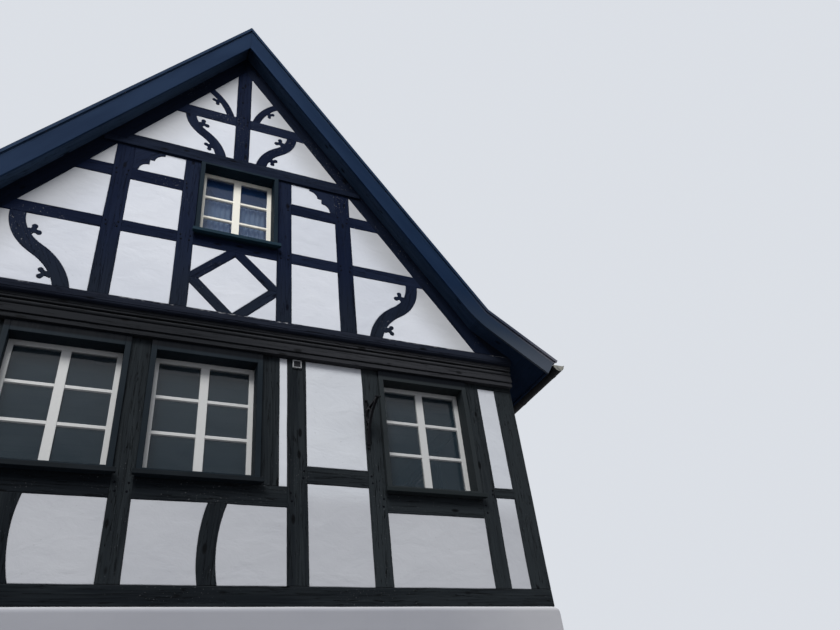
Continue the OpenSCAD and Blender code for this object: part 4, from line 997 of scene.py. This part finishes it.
# The gutters: half round zinc, painted dark brown, in lengths that hang in flat bands from the
# fascias. The stop ends are newer and unpainted.
metal = Finish("gutter_metal")
where = metal.place()
worn = metal.cloud(where, 14.0, 5.0)
end = metal.band(abs(metal.axis(where, "Y")), 4.8935, 4.8950)
bright = metal.mix((0.235, 0.232, 0.205), (0.145, 0.148, 0.140),
                   metal.cloud(where, 22.0, 3.0), 0.48, 0.60)
tone = metal.mix((0.0065, 0.0065, 0.0075), (0.0140, 0.0135, 0.0140), worn)
paint(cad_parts["gutters"], metal.surface(metal.mix(tone, bright, end), 0.6, gloss=0.08))
GUTTER_X, GUTTER_RIM, GUTTER_OUT = 4.0227, 6.0956, 0.0770
BANDS, LAST_BAND, BAND_HALF, BENDS = 14, 4.72, 0.015, 12
arc = [math.pi + math.pi * j / BENDS for j in range(BENDS + 1)]
parts = []
for side in (-1, 1):
    for k in range(BANDS):
        y = LAST_BAND * (2 * k / (BANDS - 1) - 1)
        points = [(side * (GUTTER_X + r * math.cos(a)), y + w, GUTTER_RIM + r * math.sin(a))
                  for a in arc for r in (GUTTER_OUT - 0.0005, GUTTER_OUT + 0.0035)
                  for w in (-BAND_HALF, BAND_HALF)]
        shell = []
        for j in range(BENDS):
            a, b = 4 * j, 4 * (j + 1)
            shell += [[a, a + 1, b + 1, b], [a + 3, a + 2, b + 2, b + 3],
                      [a + 2, a, b, b + 2], [a + 1, a + 3, b + 3, b + 1]]
        last = 4 * BENDS
        shell += [[0, 2, 3, 1], [last, last + 1, last + 3, last + 2]]
        parts.append((points, [f[::-side] for f in shell]))
corners, faces = joined(parts)
bands = Finish("gutter_band_paint")
piece = laid_out("gutter_bands", corners, faces, smooth=30)
paint(piece, bands.surface(
    bands.mix((0.010, 0.0095, 0.0095), (0.024, 0.022, 0.021), bands.cloud(bands.place(), 40.0)),
    0.6, gloss=0.1))

# Two small things on the front: the forged bracket beside the right hand window, blackened with
# age, and the vent under the cornice, a pale cast surround with a dark grate in it.
piece = carved("wrought_bracket", "iron_bracket", 0.002, 0, off_line=0.0)
paint(piece, forged)
vent_low, vent_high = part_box("wall_vent")
mid_x, mid_z = (vent_low[0] + vent_high[0]) / 2, (vent_low[2] + vent_high[2]) / 2
half, rim = (vent_high[0] - vent_low[0]) / 2, 0.010
front, back = vent_low[1], vent_high[1]
rings = [(half, back), (half, front + 0.002), (half - 0.002, front), (half - rim + 0.002, front),
         (half - rim, front + 0.002), (half - rim, back)]
corners = [(mid_x + sx * r, y, mid_z + sz * r) for r, y in rings
           for sx, sz in ((-1, -1), (1, -1), (1, 1), (-1, 1))]
# The last ring joins the first one again inside the opening.
faces = [[4 * a + k, 4 * a + (k + 1) % 4, 4 * b + (k + 1) % 4, 4 * b + k]
         for a, b in zip(range(6), (1, 2, 3, 4, 5, 0)) for k in range(4)]
piece = laid_out("vent_surround", corners, faces, node="wall_vent")
vent = Finish("vent_metal")
paint(piece, vent.surface(
    vent.mix((0.26, 0.27, 0.28), (0.38, 0.39, 0.40), vent.cloud(vent.place(), 30.0)),
    0.5, gloss=0.2))
reach = half - rim + 0.001
parts = [slab((mid_x - reach, front + 0.013, mid_z - reach), (mid_x + reach, back, mid_z + reach),
              0.0004)]
for k in range(1, 5):
    at = -reach + 2 * reach * k / 5
    parts += [slab((mid_x - reach, front + 0.004, mid_z + at - 0.0022),
                   (mid_x + reach, front + 0.0085, mid_z + at + 0.0022), 0.0008),
              slab((mid_x + at - 0.0016, front + 0.0085, mid_z - reach),
                   (mid_x + at + 0.0016, front + 0.0130, mid_z + reach), 0.0006)]
corners, faces = joined(parts)
piece = laid_out("vent_grate", corners, faces)
grate = Finish("vent_grate_metal")
paint(piece, grate.surface(
    grate.mix((0.020, 0.021, 0.026), (0.055, 0.057, 0.064), grate.cloud(grate.place(), 55.0)),
    0.6, gloss=0.1))
